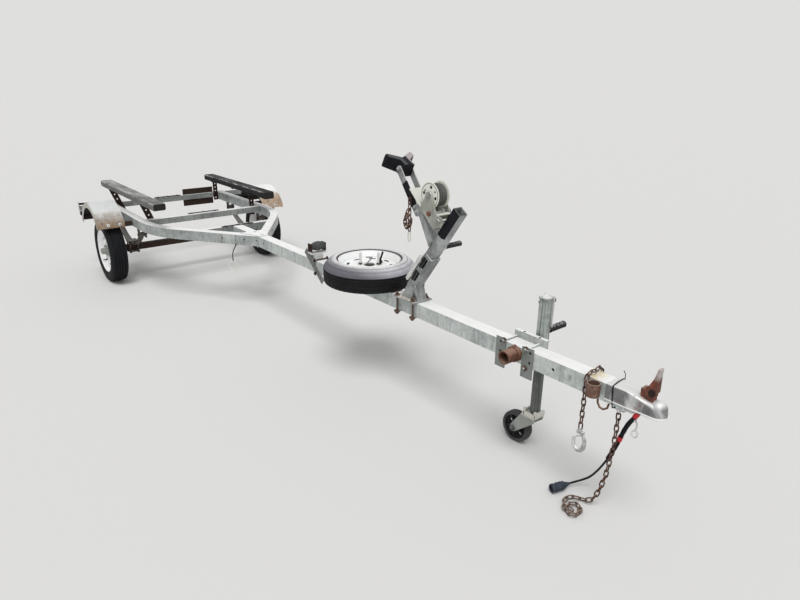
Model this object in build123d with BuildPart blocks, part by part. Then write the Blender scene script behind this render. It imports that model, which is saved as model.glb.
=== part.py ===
"""Single-axle boat trailer: galvanised frame, carpeted bunks, winch stand, swivel jack and spare wheel."""
import math
import os

from build123d import *

os.makedirs("parts", exist_ok=True)

# Driving dimensions in millimetres: +X towards the coupler, +Y to the left, +Z up, ground at zero.
LENGTH = 5120.0
NOSE_X = LENGTH / 2
REAR_X = -LENGTH / 2
FRAME_TOP = 558.0

# Tongue and side rails: the rear frame keeps its size, and the tongue takes up any change of length.
TONGUE = 76.0
TONGUE_WALL = 4.0
FRAME_BOTTOM = FRAME_TOP - TONGUE
TONGUE_MID = FRAME_TOP - TONGUE / 2
TONGUE_FRONT = NOSE_X - 112.0
TONGUE_HOLES = (NOSE_X - 475.0, REAR_X + 2110.0)
TONGUE_HOLE_R = 7.0
RAIL_WIDTH = 64.0
RAIL_WALL = 4.0
RAIL_HALF = 558.0
RAIL_BEND = 800.0
RAIL_SPLAY = math.radians(35.0)
RAIL_MID_Y = RAIL_HALF - RAIL_WIDTH / 2
RAIL_REAR = REAR_X + 95.0
JUNCTION_X = REAR_X + 2020.0

# Crossmembers.
CROSS = 50.0
CROSS_WALL = 3.0
CROSS_FRONT_X = REAR_X + 1585.0
CROSS_MIDDLE_X = REAR_X + 995.0
CROSS_REAR_X = RAIL_REAR - CROSS / 2
CROSS_REAR_HALF = RAIL_HALF + 217.0

# Axle, springs and wheels.
AXLE_X = REAR_X + 625.0
WHEEL_R = 260.5
TYRE_WIDTH = 131.0
TRACK_HALF = RAIL_HALF + 145.0
AXLE_BEAM = 50.0
AXLE_HALF = TRACK_HALF - 113.0
SPINDLE_R = 15.0
SPRING_HALF = 320.0
SPRING_WIDTH = 45.0
SPRING_LEAF = 7.0
SPRING_EYE_Z = 432.0
HUB_R = 64.0
HUB_BORE_R = 33.0
RIM_R = 176.0
BEAD_R = 165.0
LUGS = 4
LUG_R = 50.8
LUG_START = 50.0

# Fenders, rolled about an axis a little above the hub.
FENDER_R = 272.0
FENDER_SHEET = 3.0
FENDER_LIP = 42.0
FENDER_INNER_Y = TRACK_HALF - 86.0
FENDER_OUTER_Y = TRACK_HALF + 121.0
FENDER_X = AXLE_X - 43.0
FENDER_Z = 393.0
FENDER_ENDS = (20.65, 160.7)

# Bunks and their brackets: the left board sits lower and shorter, on upright brackets.
BUNK_WIDTH = 100.0
BUNK_HEIGHT = 55.0
BUNK_ROUND = 12.0
BUNK_RIGHT_TOP = 756.0
BUNK_RIGHT_Y = -(RAIL_HALF - 43.0)
BUNK_RIGHT_ENDS = (REAR_X + 20.0, REAR_X + 1425.0)
BUNK_LEFT_TOP = 722.0
BUNK_LEFT_Y = RAIL_HALF - 96.0
BUNK_LEFT_ENDS = (REAR_X + 12.0, REAR_X + 1220.0)
BRACKET_LEAN = math.radians(20.0)
BRACKET_WIDTH = 54.0
BRACKET_LEFT_WIDTH = 44.0
BRACKET_PLATE = 6.0
BRACKET_FOOT_Z = 480.0

# Keel roller.
ROLLER_X = NOSE_X - 2344.0
ROLLER_Z = 641.0
ROLLER_R = 33.0
ROLLER_LENGTH = 88.0
ROLLER_WAIST = 9.0

# Spare wheel, lying on the tongue.
SPARE_X = NOSE_X - 1787.0
SPARE_Z = FRAME_TOP + 6.0 + TYRE_WIDTH / 2

# Winch stand: a slotted sleeve on the tongue and a square post that leans forward.
STAND_LEAN = math.radians(36.0)
STAND_FOOT_X = NOSE_X - 1412.0
STAND_FOOT_Z = 620.0
STAND_LENGTH = 558.0
SLEEVE_START = 32.0
SLEEVE_END = 251.0
SLEEVE_WALL = 6.0
POST = 51.0
POST_WALL = 4.0
POST_FIT = 0.5
BASE_REAR = NOSE_X - 1492.0
BASE_FRONT = NOSE_X - 1327.0
BASE_HALF = 62.0
BASE_PLATE = 8.0

# Bow arm and stop.
ARM_FOOT = (NOSE_X - 1259.0, 903.0)
ARM_HEAD = (NOSE_X - 1348.0, 1066.0)
ARM_HALF = 32.0
ARM_PLATE = 6.0
ARM_DEPTH = 34.0
BAR_FOOT = (NOSE_X - 1345.0, 1025.0)
STOP_PIVOT = (NOSE_X - 1488.0, 1218.0)
STOP_TILT = math.radians(28.0)
STOP_NECK = ARM_HALF - 0.5

# Winch.
WINCH_LOW = (NOSE_X - 1217.0, 966.0)
WINCH_HIGH = (NOSE_X - 1398.0, 1134.0)
DRUM_X = NOSE_X - 1258.0
DRUM_Z = 1122.0
DRUM_FLANGE_R = 63.0
DRUM_HALF = 36.0
DRUM_CORE_R = 18.0
CHEEK = 4.0
CHEEK_Y = 46.0
SHAFT_R = 7.0
SHAFT_FIT = 0.4
GEAR_MODULE = 3.0
GEAR_TEETH = 42
PINION_TEETH = 14
PINION_TURN = math.radians(-81.9)
PINION_REACH = GEAR_MODULE * (GEAR_TEETH + PINION_TEETH) / 2
PINION_X = DRUM_X + PINION_REACH * math.cos(PINION_TURN)
PINION_Z = DRUM_Z + PINION_REACH * math.sin(PINION_TURN)
CRANK_Y = 76.0
CRANK_ARM = 184.0
CRANK_BACK = math.radians(5.0)

# Jack on the far side of the tongue.
JACK_X = NOSE_X - 643.0
JACK_Y = 101.0
JACK_OUTER_R = 30.0
JACK_INNER_R = 24.0
JACK_TOP = 765.0
JACK_INNER_TOP = 550.0
JACK_TUBE_BOTTOM = 418.0
JACK_PIVOT_Z = 530.0
CASTER_R = 77.5
CASTER_WIDTH = 42.0
CASTER_TRAIL = 94.0
FORK_TOP = 192.0

# Coupler and chains.
BALL_X = NOSE_X - 38.0
CHAIN_WIRE = 6.0
CHAIN_INNER = 27.0
CHAIN_WIDTH = 22.0
CHAIN_SLACK = 0.3
CHAIN_PITCH = CHAIN_INNER - CHAIN_SLACK


def save(part, label):
    """Write one named piece."""
    part.label = label
    export_step(part, "parts/" + label + ".step")


# Side rails: plan outlines inset from the outer faces, swept straight up.
def half_plan(inset, side):
    """Plan of one half of the frame inside its outer face, moved in by inset."""
    half = RAIL_HALF - inset
    apex_x = JUNCTION_X + TONGUE / 2 / math.tan(RAIL_SPLAY) - inset / math.sin(RAIL_SPLAY)
    corner_x = apex_x - half / math.tan(RAIL_SPLAY)
    with BuildSketch() as plan:
        with BuildLine():
            FilletPolyline(
                (RAIL_REAR, side * half), (corner_x, side * half), (apex_x, 0), radius=RAIL_BEND - inset
            )
            Polyline((apex_x, 0), (RAIL_REAR, 0), (RAIL_REAR, side * half))
        make_face()
    return plan.sketch


for name, side in (("rail_right", -1), ("rail_left", 1)):
    with BuildPart() as rail:
        with BuildSketch(Plane.XY.offset(FRAME_BOTTOM)):
            add(half_plan(0, side))
            add(half_plan(RAIL_WIDTH, side), mode=Mode.SUBTRACT)
        extrude(amount=TONGUE)
        with BuildSketch(Plane.XY.offset(FRAME_BOTTOM + RAIL_WALL)):
            add(half_plan(RAIL_WALL, side))
            add(half_plan(RAIL_WIDTH - RAIL_WALL, side), mode=Mode.SUBTRACT)
        extrude(amount=TONGUE - 2 * RAIL_WALL, mode=Mode.SUBTRACT)
        with Locations((JUNCTION_X, 0, TONGUE_MID)):
            Box(RAIL_HALF, TONGUE, 2 * TONGUE, mode=Mode.SUBTRACT)
    save(rail.part, name)

# Tongue: one square tube from the front crossmember into the coupler.
tongue_rear = CROSS_FRONT_X + CROSS / 2
tongue_length = TONGUE_FRONT - tongue_rear
with BuildPart() as tongue:
    with Locations((tongue_rear + tongue_length / 2, 0, TONGUE_MID)):
        Box(tongue_length, TONGUE, TONGUE)
        Box(tongue_length + 2, TONGUE - 2 * TONGUE_WALL, TONGUE - 2 * TONGUE_WALL, mode=Mode.SUBTRACT)
    for hole_x in TONGUE_HOLES:
        with Locations((hole_x, 0, TONGUE_MID)):
            Cylinder(TONGUE_HOLE_R, TONGUE + 2, rotation=(90, 0, 0), mode=Mode.SUBTRACT)
save(tongue.part, "tongue_tube")

# Crossmembers between the rails.
for name, cross_x in (("crossmember_front", CROSS_FRONT_X), ("crossmember_middle", CROSS_MIDDLE_X)):
    with BuildPart() as cross:
        with BuildSketch(Plane.XY.offset(FRAME_TOP - CROSS)):
            add(half_plan(RAIL_WIDTH, 1))
            add(half_plan(RAIL_WIDTH, -1))
        extrude(amount=CROSS)
        with Locations((cross_x, 0, FRAME_TOP - CROSS / 2)):
            Box(CROSS, 2 * RAIL_HALF, CROSS, mode=Mode.INTERSECT)
            Box(CROSS - 2 * CROSS_WALL, 2 * RAIL_HALF, CROSS - 2 * CROSS_WALL, mode=Mode.SUBTRACT)
    save(cross.part, name)

with BuildPart() as cross_rear:
    with Locations((CROSS_REAR_X, 0, FRAME_TOP - CROSS / 2)):
        Box(CROSS, 2 * CROSS_REAR_HALF, CROSS)
        Box(CROSS - 2 * CROSS_WALL, 2 * CROSS_REAR_HALF + 2, CROSS - 2 * CROSS_WALL, mode=Mode.SUBTRACT)
save(cross_rear.part, "crossmember_rear")

# Gusset: a top plate over the joint of tongue and rails, with two bolt heads on the centreline.
GUSSET_PLATE = 5.0
GUSSET_NOSE = JUNCTION_X + 24
GUSSET_TAIL = JUNCTION_X - 150
BOLT_HEAD_R = 10.0
BOLT_HEAD = 8.0
with BuildPart() as gusset:
    with BuildSketch(Plane.XY.offset(FRAME_TOP)):
        with BuildLine():
            Polyline(
                (GUSSET_NOSE, -36), (GUSSET_NOSE, 36), (JUNCTION_X - 40, 52), (GUSSET_TAIL, 96),
                (GUSSET_TAIL, -96), (JUNCTION_X - 40, -52), close=True,
            )
        make_face()
    extrude(amount=GUSSET_PLATE)
    with BuildSketch(Plane.XY.offset(FRAME_TOP + GUSSET_PLATE)):
        with Locations((JUNCTION_X, 0), (JUNCTION_X - 112, 0)):
            RegularPolygon(BOLT_HEAD_R, 6)
    extrude(amount=BOLT_HEAD)
save(gusset.part, "junction_gusset")

# Axle beam with its spindles.
with BuildPart() as axle:
    with Locations((AXLE_X, 0, WHEEL_R)):
        Box(AXLE_BEAM, 2 * AXLE_HALF, AXLE_BEAM)
        Cylinder(SPINDLE_R, 2 * (TRACK_HALF + 40), rotation=(90, 0, 0))
save(axle.part, "axle_beam")

# Leaf springs with hangers and the clamp round the axle.
HANGER_PLATE = 5.0
HANGER_WIDTH = 55.0
HANGER_LOW = SPRING_EYE_Z - 27.0
SPRING_SEAT_Z = WHEEL_R + AXLE_BEAM / 2
CLAMP_ROD_R = 5.0
for name, side in (("spring_right", -1), ("spring_left", 1)):
    with BuildPart() as spring:
        with BuildSketch(Plane.XZ.offset(-side * RAIL_MID_Y)):
            for layer, reach in ((0, 1.0), (1, 0.72), (2, 0.42)):
                low = SPRING_SEAT_Z + (2 - layer) * SPRING_LEAF
                tip = low + (SPRING_EYE_Z - SPRING_SEAT_Z) * reach ** 2
                with BuildLine():
                    outer = ThreePointArc(
                        (AXLE_X - SPRING_HALF * reach, tip),
                        (AXLE_X, low),
                        (AXLE_X + SPRING_HALF * reach, tip),
                    )
                    upper = ThreePointArc(
                        (AXLE_X - SPRING_HALF * reach, tip + SPRING_LEAF),
                        (AXLE_X, low + SPRING_LEAF),
                        (AXLE_X + SPRING_HALF * reach, tip + SPRING_LEAF),
                    )
                    Line(outer @ 0, upper @ 0)
                    Line(outer @ 1, upper @ 1)
                make_face()
        extrude(amount=SPRING_WIDTH / 2, both=True)
        for end in (-1, 1):
            for cheek in (-1, 1):
                cheek_y = side * RAIL_MID_Y + cheek * (SPRING_WIDTH + HANGER_PLATE) / 2
                with Locations((AXLE_X + end * SPRING_HALF, cheek_y, (FRAME_BOTTOM + HANGER_LOW) / 2)):
                    Box(HANGER_WIDTH, HANGER_PLATE, FRAME_BOTTOM - HANGER_LOW)
            with Locations((AXLE_X + end * SPRING_HALF, side * RAIL_MID_Y, SPRING_EYE_Z)):
                Cylinder(2 * SPRING_LEAF, SPRING_WIDTH, rotation=(90, 0, 0))
        with Locations((AXLE_X, side * RAIL_MID_Y, SPRING_SEAT_Z - AXLE_BEAM - 4)):
            Box(110, 80, 8)
        for rod_x in (-33, 33):
            for rod_y in (-31, 31):
                with Locations((AXLE_X + rod_x, side * RAIL_MID_Y + rod_y, SPRING_SEAT_Z - 14)):
                    Cylinder(CLAMP_ROD_R, 2 * AXLE_BEAM)
        with Locations((AXLE_X, side * RAIL_MID_Y, SPRING_SEAT_Z + 30)):
            Box(90, 80, 12)
    save(spring.part, name)


# Tyres and rims: outlines of offset from the wheel's mid plane and radius, for one half of the width.
TYRE_HALF = (
    (46, BEAD_R), (50, RIM_R), (56, RIM_R + 4), (TYRE_WIDTH / 2, 212), (63, 242), (57, 254), (49, WHEEL_R),
)
RIM_HALF = (
    (30, 150), (44, 161), (54, RIM_R - 4), (54, RIM_R), (50, RIM_R), (46, BEAD_R), (36, 158),
)


def wheel_ring(half, closed_inside, plane, axis):
    """Turn a mirrored outline about the wheel's axle; closed_inside says that its two ends face the axle."""
    mirrored = [(-offset, radius) for offset, radius in reversed(half)]
    outline = mirrored + list(half) if closed_inside else list(half) + mirrored
    with BuildPart() as ring:
        with BuildSketch(plane):
            with BuildLine():
                Polyline(*outline, close=True)
            make_face()
        revolve(axis=axis)
    return ring.part


RIM_DISC = 8.0
RIM_DISC_R = 152.0
RIM_DISC_OFFSET = 22.0
RIM_SLOTS = 8
RIM_SLOT_R = 122.0
LUG_HOLE_R = 7.5


def rim(plane, axis, disc_plane):
    """Steel rim: drop centre, disc and a ring of slots."""
    with BuildPart() as body:
        add(wheel_ring(RIM_HALF, False, plane, axis))
        with BuildSketch(disc_plane.offset(RIM_DISC_OFFSET)):
            Circle(RIM_DISC_R)
            Circle(HUB_BORE_R, mode=Mode.SUBTRACT)
            with PolarLocations(RIM_SLOT_R, RIM_SLOTS):
                SlotOverall(44, 16, rotation=90, mode=Mode.SUBTRACT)
            with PolarLocations(LUG_R, LUGS, start_angle=LUG_START):
                Circle(LUG_HOLE_R, mode=Mode.SUBTRACT)
        extrude(amount=-RIM_DISC)
    return body.part


def tyre(plane, axis):
    """Tyre with upright sidewalls and square shoulders."""
    return wheel_ring(TYRE_HALF, True, plane, axis)


HUB_BACK = 75.0
for name, side in (("right", -1), ("left", 1)):
    profile_plane = Plane((AXLE_X, side * TRACK_HALF, WHEEL_R), x_dir=(0, side, 0), z_dir=(side, 0, 0))
    wheel_axis = Axis((AXLE_X, side * TRACK_HALF, WHEEL_R), (0, side, 0))
    disc_plane = Plane((AXLE_X, side * TRACK_HALF, WHEEL_R), x_dir=(1, 0, 0), z_dir=(0, side, 0))
    save(tyre(profile_plane, wheel_axis), "tyre_" + name)
    save(rim(profile_plane, wheel_axis, disc_plane), "rim_" + name)
    with BuildPart() as hub:
        with BuildSketch(disc_plane.offset(-HUB_BACK)):
            Circle(40)
        extrude(amount=RIM_DISC_OFFSET - RIM_DISC + HUB_BACK)
        with BuildSketch(disc_plane.offset(RIM_DISC_OFFSET - RIM_DISC)):
            Circle(HUB_R)
        extrude(amount=-10)
        with BuildSketch(disc_plane.offset(RIM_DISC_OFFSET - RIM_DISC)):
            Circle(HUB_BORE_R - 1)
        extrude(amount=40, taper=4)
        with BuildSketch(disc_plane.offset(RIM_DISC_OFFSET)):
            with PolarLocations(LUG_R, LUGS, start_angle=LUG_START):
                RegularPolygon(11, 6)
        extrude(amount=14)
        with BuildSketch(disc_plane.offset(RIM_DISC_OFFSET - RIM_DISC)):
            with PolarLocations(LUG_R, LUGS, start_angle=LUG_START):
                Circle(LUG_HOLE_R - 1.5)
        extrude(amount=RIM_DISC)
        with BuildSketch(disc_plane.offset(-HUB_BACK - 5)):
            Circle(SPINDLE_R + 1)
        extrude(amount=HUB_BACK + 50, mode=Mode.SUBTRACT)
    save(hub.part, "hub_" + name)

# Spare wheel, lying flat with its outer face up, on a plate and two threaded posts.
spare_plane = Plane((SPARE_X, 0, SPARE_Z), x_dir=(0, 0, 1), z_dir=(0, -1, 0))
spare_disc = Plane((SPARE_X, 0, SPARE_Z))
spare_axis = Axis((SPARE_X, 0, SPARE_Z), (0, 0, 1))
save(tyre(spare_plane, spare_axis), "spare_tyre")
save(rim(spare_plane, spare_axis, spare_disc), "spare_rim")
CARRIER_PLATE = 6.0
CARRIER_POST_R = 6.0
CARRIER_POST_TOP = SPARE_Z + 78.0
disc_under = SPARE_Z + RIM_DISC_OFFSET - RIM_DISC
with BuildPart() as carrier:
    with Locations((SPARE_X, 0, FRAME_TOP + CARRIER_PLATE / 2)):
        Box(90, 2 * TONGUE, CARRIER_PLATE)
    for side in (-1, 1):
        post_x = SPARE_X + side * LUG_R * math.cos(math.radians(LUG_START))
        post_y = side * LUG_R * math.sin(math.radians(LUG_START))
        with Locations((post_x, post_y, (FRAME_TOP + CARRIER_POST_TOP) / 2)):
            Cylinder(CARRIER_POST_R, CARRIER_POST_TOP - FRAME_TOP)
        with Locations((post_x, post_y, disc_under - 5), (post_x, post_y, disc_under + RIM_DISC + 5)):
            Cylinder(11, 10)
save(carrier.part, "spare_carrier")


# Fenders: rolled arches with a turned outer lip, on bars from the rails.
def fender_band(depth):
    """Side view of the arch as a band of that depth under its outer line."""
    sweep_angle = FENDER_ENDS[1] - FENDER_ENDS[0]
    with BuildSketch() as band:
        with BuildLine():
            outer = CenterArc((FENDER_X, FENDER_Z), FENDER_R, FENDER_ENDS[0], sweep_angle)
            inner = CenterArc((FENDER_X, FENDER_Z), FENDER_R - depth, FENDER_ENDS[0], sweep_angle)
            Line(outer @ 0, inner @ 0)
            Line(outer @ 1, inner @ 1)
        make_face()
    return band.sketch


for name, side in (("fender_right", -1), ("fender_left", 1)):
    with BuildPart() as fender:
        with BuildSketch(Plane.XZ.offset(-side * FENDER_INNER_Y)):
            add(fender_band(FENDER_SHEET))
        extrude(amount=-side * (FENDER_OUTER_Y - FENDER_INNER_Y))
        with BuildSketch(Plane.XZ.offset(-side * (FENDER_OUTER_Y - FENDER_SHEET))):
            add(fender_band(FENDER_LIP))
        extrude(amount=-side * FENDER_SHEET)
    save(fender.part, name)

BAR_WIDTH = 40.0
BAR_THICK = 8.0
BAR_INSET = 5.0
BAR_END_Y = FENDER_OUTER_Y - 19.0
bar_radius = math.sqrt((FENDER_R - FENDER_SHEET) ** 2 - (BAR_WIDTH / 2) ** 2) - BAR_THICK / 2
with BuildPart() as fender_bars:
    for middle in (FENDER_ENDS[0] + BAR_INSET, FENDER_ENDS[1] - BAR_INSET):
        bar_x = FENDER_X + bar_radius * math.cos(math.radians(middle))
        bar_z = FENDER_Z + bar_radius * math.sin(math.radians(middle))
        for side in (-1, 1):
            with Locations((bar_x, side * (RAIL_HALF + BAR_END_Y) / 2, bar_z)):
                Box(BAR_THICK, BAR_END_Y - RAIL_HALF, BAR_WIDTH, rotation=(0, -middle, 0))
save(fender_bars.part, "fender_bars")

# Tail lights at the ends of the rear crossmember.
LIGHT_DEPTH = 45.0
LIGHT_WIDTH = 90.0
LIGHT_HEIGHT = 112.0
LIGHT_Z = FRAME_TOP - 39.0
LIGHT_ROUND = 8.0
for name, side in (("tail_light_right", -1), ("tail_light_left", 1)):
    with BuildPart() as light:
        with Locations((REAR_X + LIGHT_DEPTH / 2, side * (CROSS_REAR_HALF - LIGHT_WIDTH / 2), LIGHT_Z)):
            Box(LIGHT_DEPTH, LIGHT_WIDTH, LIGHT_HEIGHT)
        fillet(light.edges().filter_by(Axis.X), LIGHT_ROUND)
    save(light.part, name)

# Bunks: carpeted boards.
for name, bunk_y, bunk_top, ends in (
    ("bunk_right", BUNK_RIGHT_Y, BUNK_RIGHT_TOP, BUNK_RIGHT_ENDS),
    ("bunk_left", BUNK_LEFT_Y, BUNK_LEFT_TOP, BUNK_LEFT_ENDS),
):
    with BuildPart() as bunk:
        with Locations(((ends[0] + ends[1]) / 2, bunk_y, bunk_top - BUNK_HEIGHT / 2)):
            Box(ends[1] - ends[0], BUNK_WIDTH, BUNK_HEIGHT)
        fillet(bunk.edges().filter_by(Axis.X), BUNK_ROUND)
    save(bunk.part, name)


# Perforated brackets behind the crossmembers, each with a flange under its bunk.
BRACKET_HOLE_R = 6.0
BRACKET_HOLES = 5
BRACKET_END = 22.0
FLANGE_LENGTH = 56.0
FLANGE_WIDTH = 76.0


def bracket(face_x, foot_y, head_y, head_z, width):
    """A strip from its foot up to head_z with a row of holes, and the flange at its head."""
    half = width / 2
    top = head_z - BRACKET_PLATE
    rise = top - BRACKET_FOOT_Z
    with BuildPart() as strip:
        with BuildSketch(Plane.YZ.offset(face_x)):
            with BuildLine():
                Polyline(
                    (foot_y - half, BRACKET_FOOT_Z), (foot_y + half, BRACKET_FOOT_Z),
                    (head_y + half, top), (head_y - half, top), close=True,
                )
            make_face()
            for step in range(BRACKET_HOLES):
                height = BRACKET_END + step * (rise - 2 * BRACKET_END) / (BRACKET_HOLES - 1)
                with Locations((foot_y + (head_y - foot_y) * height / rise, BRACKET_FOOT_Z + height)):
                    Circle(BRACKET_HOLE_R, mode=Mode.SUBTRACT)
        extrude(amount=BRACKET_PLATE)
        with Locations((face_x + FLANGE_LENGTH / 2, head_y, top + BRACKET_PLATE / 2)):
            Box(FLANGE_LENGTH, FLANGE_WIDTH, BRACKET_PLATE)
    return strip.part


bunk_right_under = BUNK_RIGHT_TOP - BUNK_HEIGHT
bunk_left_under = BUNK_LEFT_TOP - BUNK_HEIGHT
lean_run = (bunk_right_under - BRACKET_PLATE - BRACKET_FOOT_Z) * math.tan(BRACKET_LEAN)
right_foot_y = BUNK_RIGHT_Y + lean_run + 13
middle_face = CROSS_MIDDLE_X - CROSS / 2 - BRACKET_PLATE
for name, face_x, left_y in (
    ("bunk_brackets_front", middle_face, BUNK_LEFT_Y - 24),
    ("bunk_brackets_rear", RAIL_REAR, BUNK_LEFT_Y + 9),
):
    with BuildPart() as brackets:
        add(bracket(face_x, right_foot_y, right_foot_y - lean_run, bunk_right_under, BRACKET_WIDTH))
        add(bracket(face_x, left_y, left_y, bunk_left_under, BRACKET_LEFT_WIDTH))
    save(brackets.part, name)

# Rusty bars clamped above and below the rear crossmember.
REAR_BAR_THICK = 8.0
REAR_BAR_LENGTH = 300.0
REAR_BAR_Y = 295.0
UPPER_BAR = 54.0
LOWER_BAR = 60.0
with BuildPart() as rear_bars:
    for bar_mid, bar_height in (
        (FRAME_TOP + UPPER_BAR / 2, UPPER_BAR),
        (FRAME_TOP - CROSS - LOWER_BAR / 2, LOWER_BAR),
    ):
        with Locations((CROSS_REAR_X + 12, REAR_BAR_Y, bar_mid)):
            Box(REAR_BAR_THICK, REAR_BAR_LENGTH, bar_height)
save(rear_bars.part, "rear_bars")

# Keel roller, its yoke and the perforated stay at the tongue's side.
YOKE_PLATE = 6.0
YOKE_WIDTH = 46.0
YOKE_CROSS_Z = ROLLER_Z - 45.0
YOKE_RISE = 20.0
yoke_side = ROLLER_LENGTH / 2 + 3 + YOKE_PLATE / 2
with BuildPart() as yoke:
    with Locations((ROLLER_X, 0, (FRAME_TOP + YOKE_CROSS_Z) / 2)):
        Box(YOKE_WIDTH, 60, YOKE_CROSS_Z - FRAME_TOP)
    with Locations((ROLLER_X, 0, YOKE_CROSS_Z + YOKE_PLATE / 2)):
        Box(YOKE_WIDTH, 2 * yoke_side + YOKE_PLATE, YOKE_PLATE)
    for side in (-1, 1):
        with Locations((ROLLER_X, side * yoke_side, (YOKE_CROSS_Z + ROLLER_Z + YOKE_RISE) / 2)):
            Box(YOKE_WIDTH, YOKE_PLATE, ROLLER_Z + YOKE_RISE - YOKE_CROSS_Z)
    with Locations((ROLLER_X, 0, ROLLER_Z)):
        Cylinder(SHAFT_R, 2 * yoke_side + 16, rotation=(90, 0, 0))
save(yoke.part, "roller_yoke")

with BuildPart() as roller:
    with BuildSketch(Plane((ROLLER_X, 0, ROLLER_Z), x_dir=(0, 1, 0), z_dir=(1, 0, 0))):
        with BuildLine():
            Polyline(
                (-ROLLER_LENGTH / 2, SHAFT_R + SHAFT_FIT), (-ROLLER_LENGTH / 2, ROLLER_R),
                (0, ROLLER_R - ROLLER_WAIST),
                (ROLLER_LENGTH / 2, ROLLER_R), (ROLLER_LENGTH / 2, SHAFT_R + SHAFT_FIT),
                close=True,
            )
        make_face()
    revolve(axis=Axis((ROLLER_X, 0, ROLLER_Z), (0, 1, 0)))
save(roller.part, "keel_roller")

STAY_TOP = (ROLLER_X - 70.0, 606.0)
STAY_FOOT = (ROLLER_X + 122.0, 440.0)
STAY_HOLES = 9
stay_run = math.dist(STAY_TOP, STAY_FOOT)
stay_plane = Plane(
    ((STAY_TOP[0] + STAY_FOOT[0]) / 2, -TONGUE / 2, (STAY_TOP[1] + STAY_FOOT[1]) / 2),
    x_dir=((STAY_FOOT[0] - STAY_TOP[0]) / stay_run, 0, (STAY_FOOT[1] - STAY_TOP[1]) / stay_run),
    z_dir=(0, -1, 0),
)
with BuildPart() as stay:
    with BuildSketch(stay_plane):
        Rectangle(stay_run, 42)
        with GridLocations(27, 1, STAY_HOLES, 1):
            Circle(5.5, mode=Mode.SUBTRACT)
    extrude(amount=5)
    for rod_z in (FRAME_TOP + 5, FRAME_BOTTOM - 5):
        with Locations((ROLLER_X + 42, 0, rod_z)):
            Cylinder(5, TONGUE + 24, rotation=(90, 0, 0))
save(stay.part, "roller_stay")

# Winch stand: base plate with clamp bolts, legs, and a channel sleeve with slots round the post.
stand_u = (math.sin(STAND_LEAN), math.cos(STAND_LEAN))
stand_plane = Plane(
    (STAND_FOOT_X, 0, STAND_FOOT_Z), x_dir=(math.cos(STAND_LEAN), 0, -math.sin(STAND_LEAN)),
    z_dir=(stand_u[0], 0, stand_u[1]),
)
side_plane = Plane((STAND_FOOT_X, 0, STAND_FOOT_Z), x_dir=(stand_u[0], 0, stand_u[1]), z_dir=(0, -1, 0))
post_hole = POST / 2 + POST_FIT
sleeve_half = post_hole + SLEEVE_WALL
SLEEVE_REAR = -18.0
SLOT_LENGTH = 75.0
SLOT_WIDTH = 17.0
SLOT_SHIFT = -8.0
SLOT_PLACES = (99.0, 197.5)
STRIP_LENGTH = 190.0
STRIP_DEPTH = 20.0
CLAMP_BOLT_R = 5.0
CLAMP_X = (BASE_REAR + 14, BASE_FRONT - 26)


def slots(start, depth):
    """Two slots through one near wall of the sleeve and post, from start outwards."""
    with BuildPart() as cut:
        with BuildSketch(side_plane.offset(start)):
            with Locations(*[(place, SLOT_SHIFT) for place in SLOT_PLACES]):
                SlotOverall(SLOT_LENGTH, SLOT_WIDTH)
        extrude(amount=depth)
    return cut.part


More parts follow.
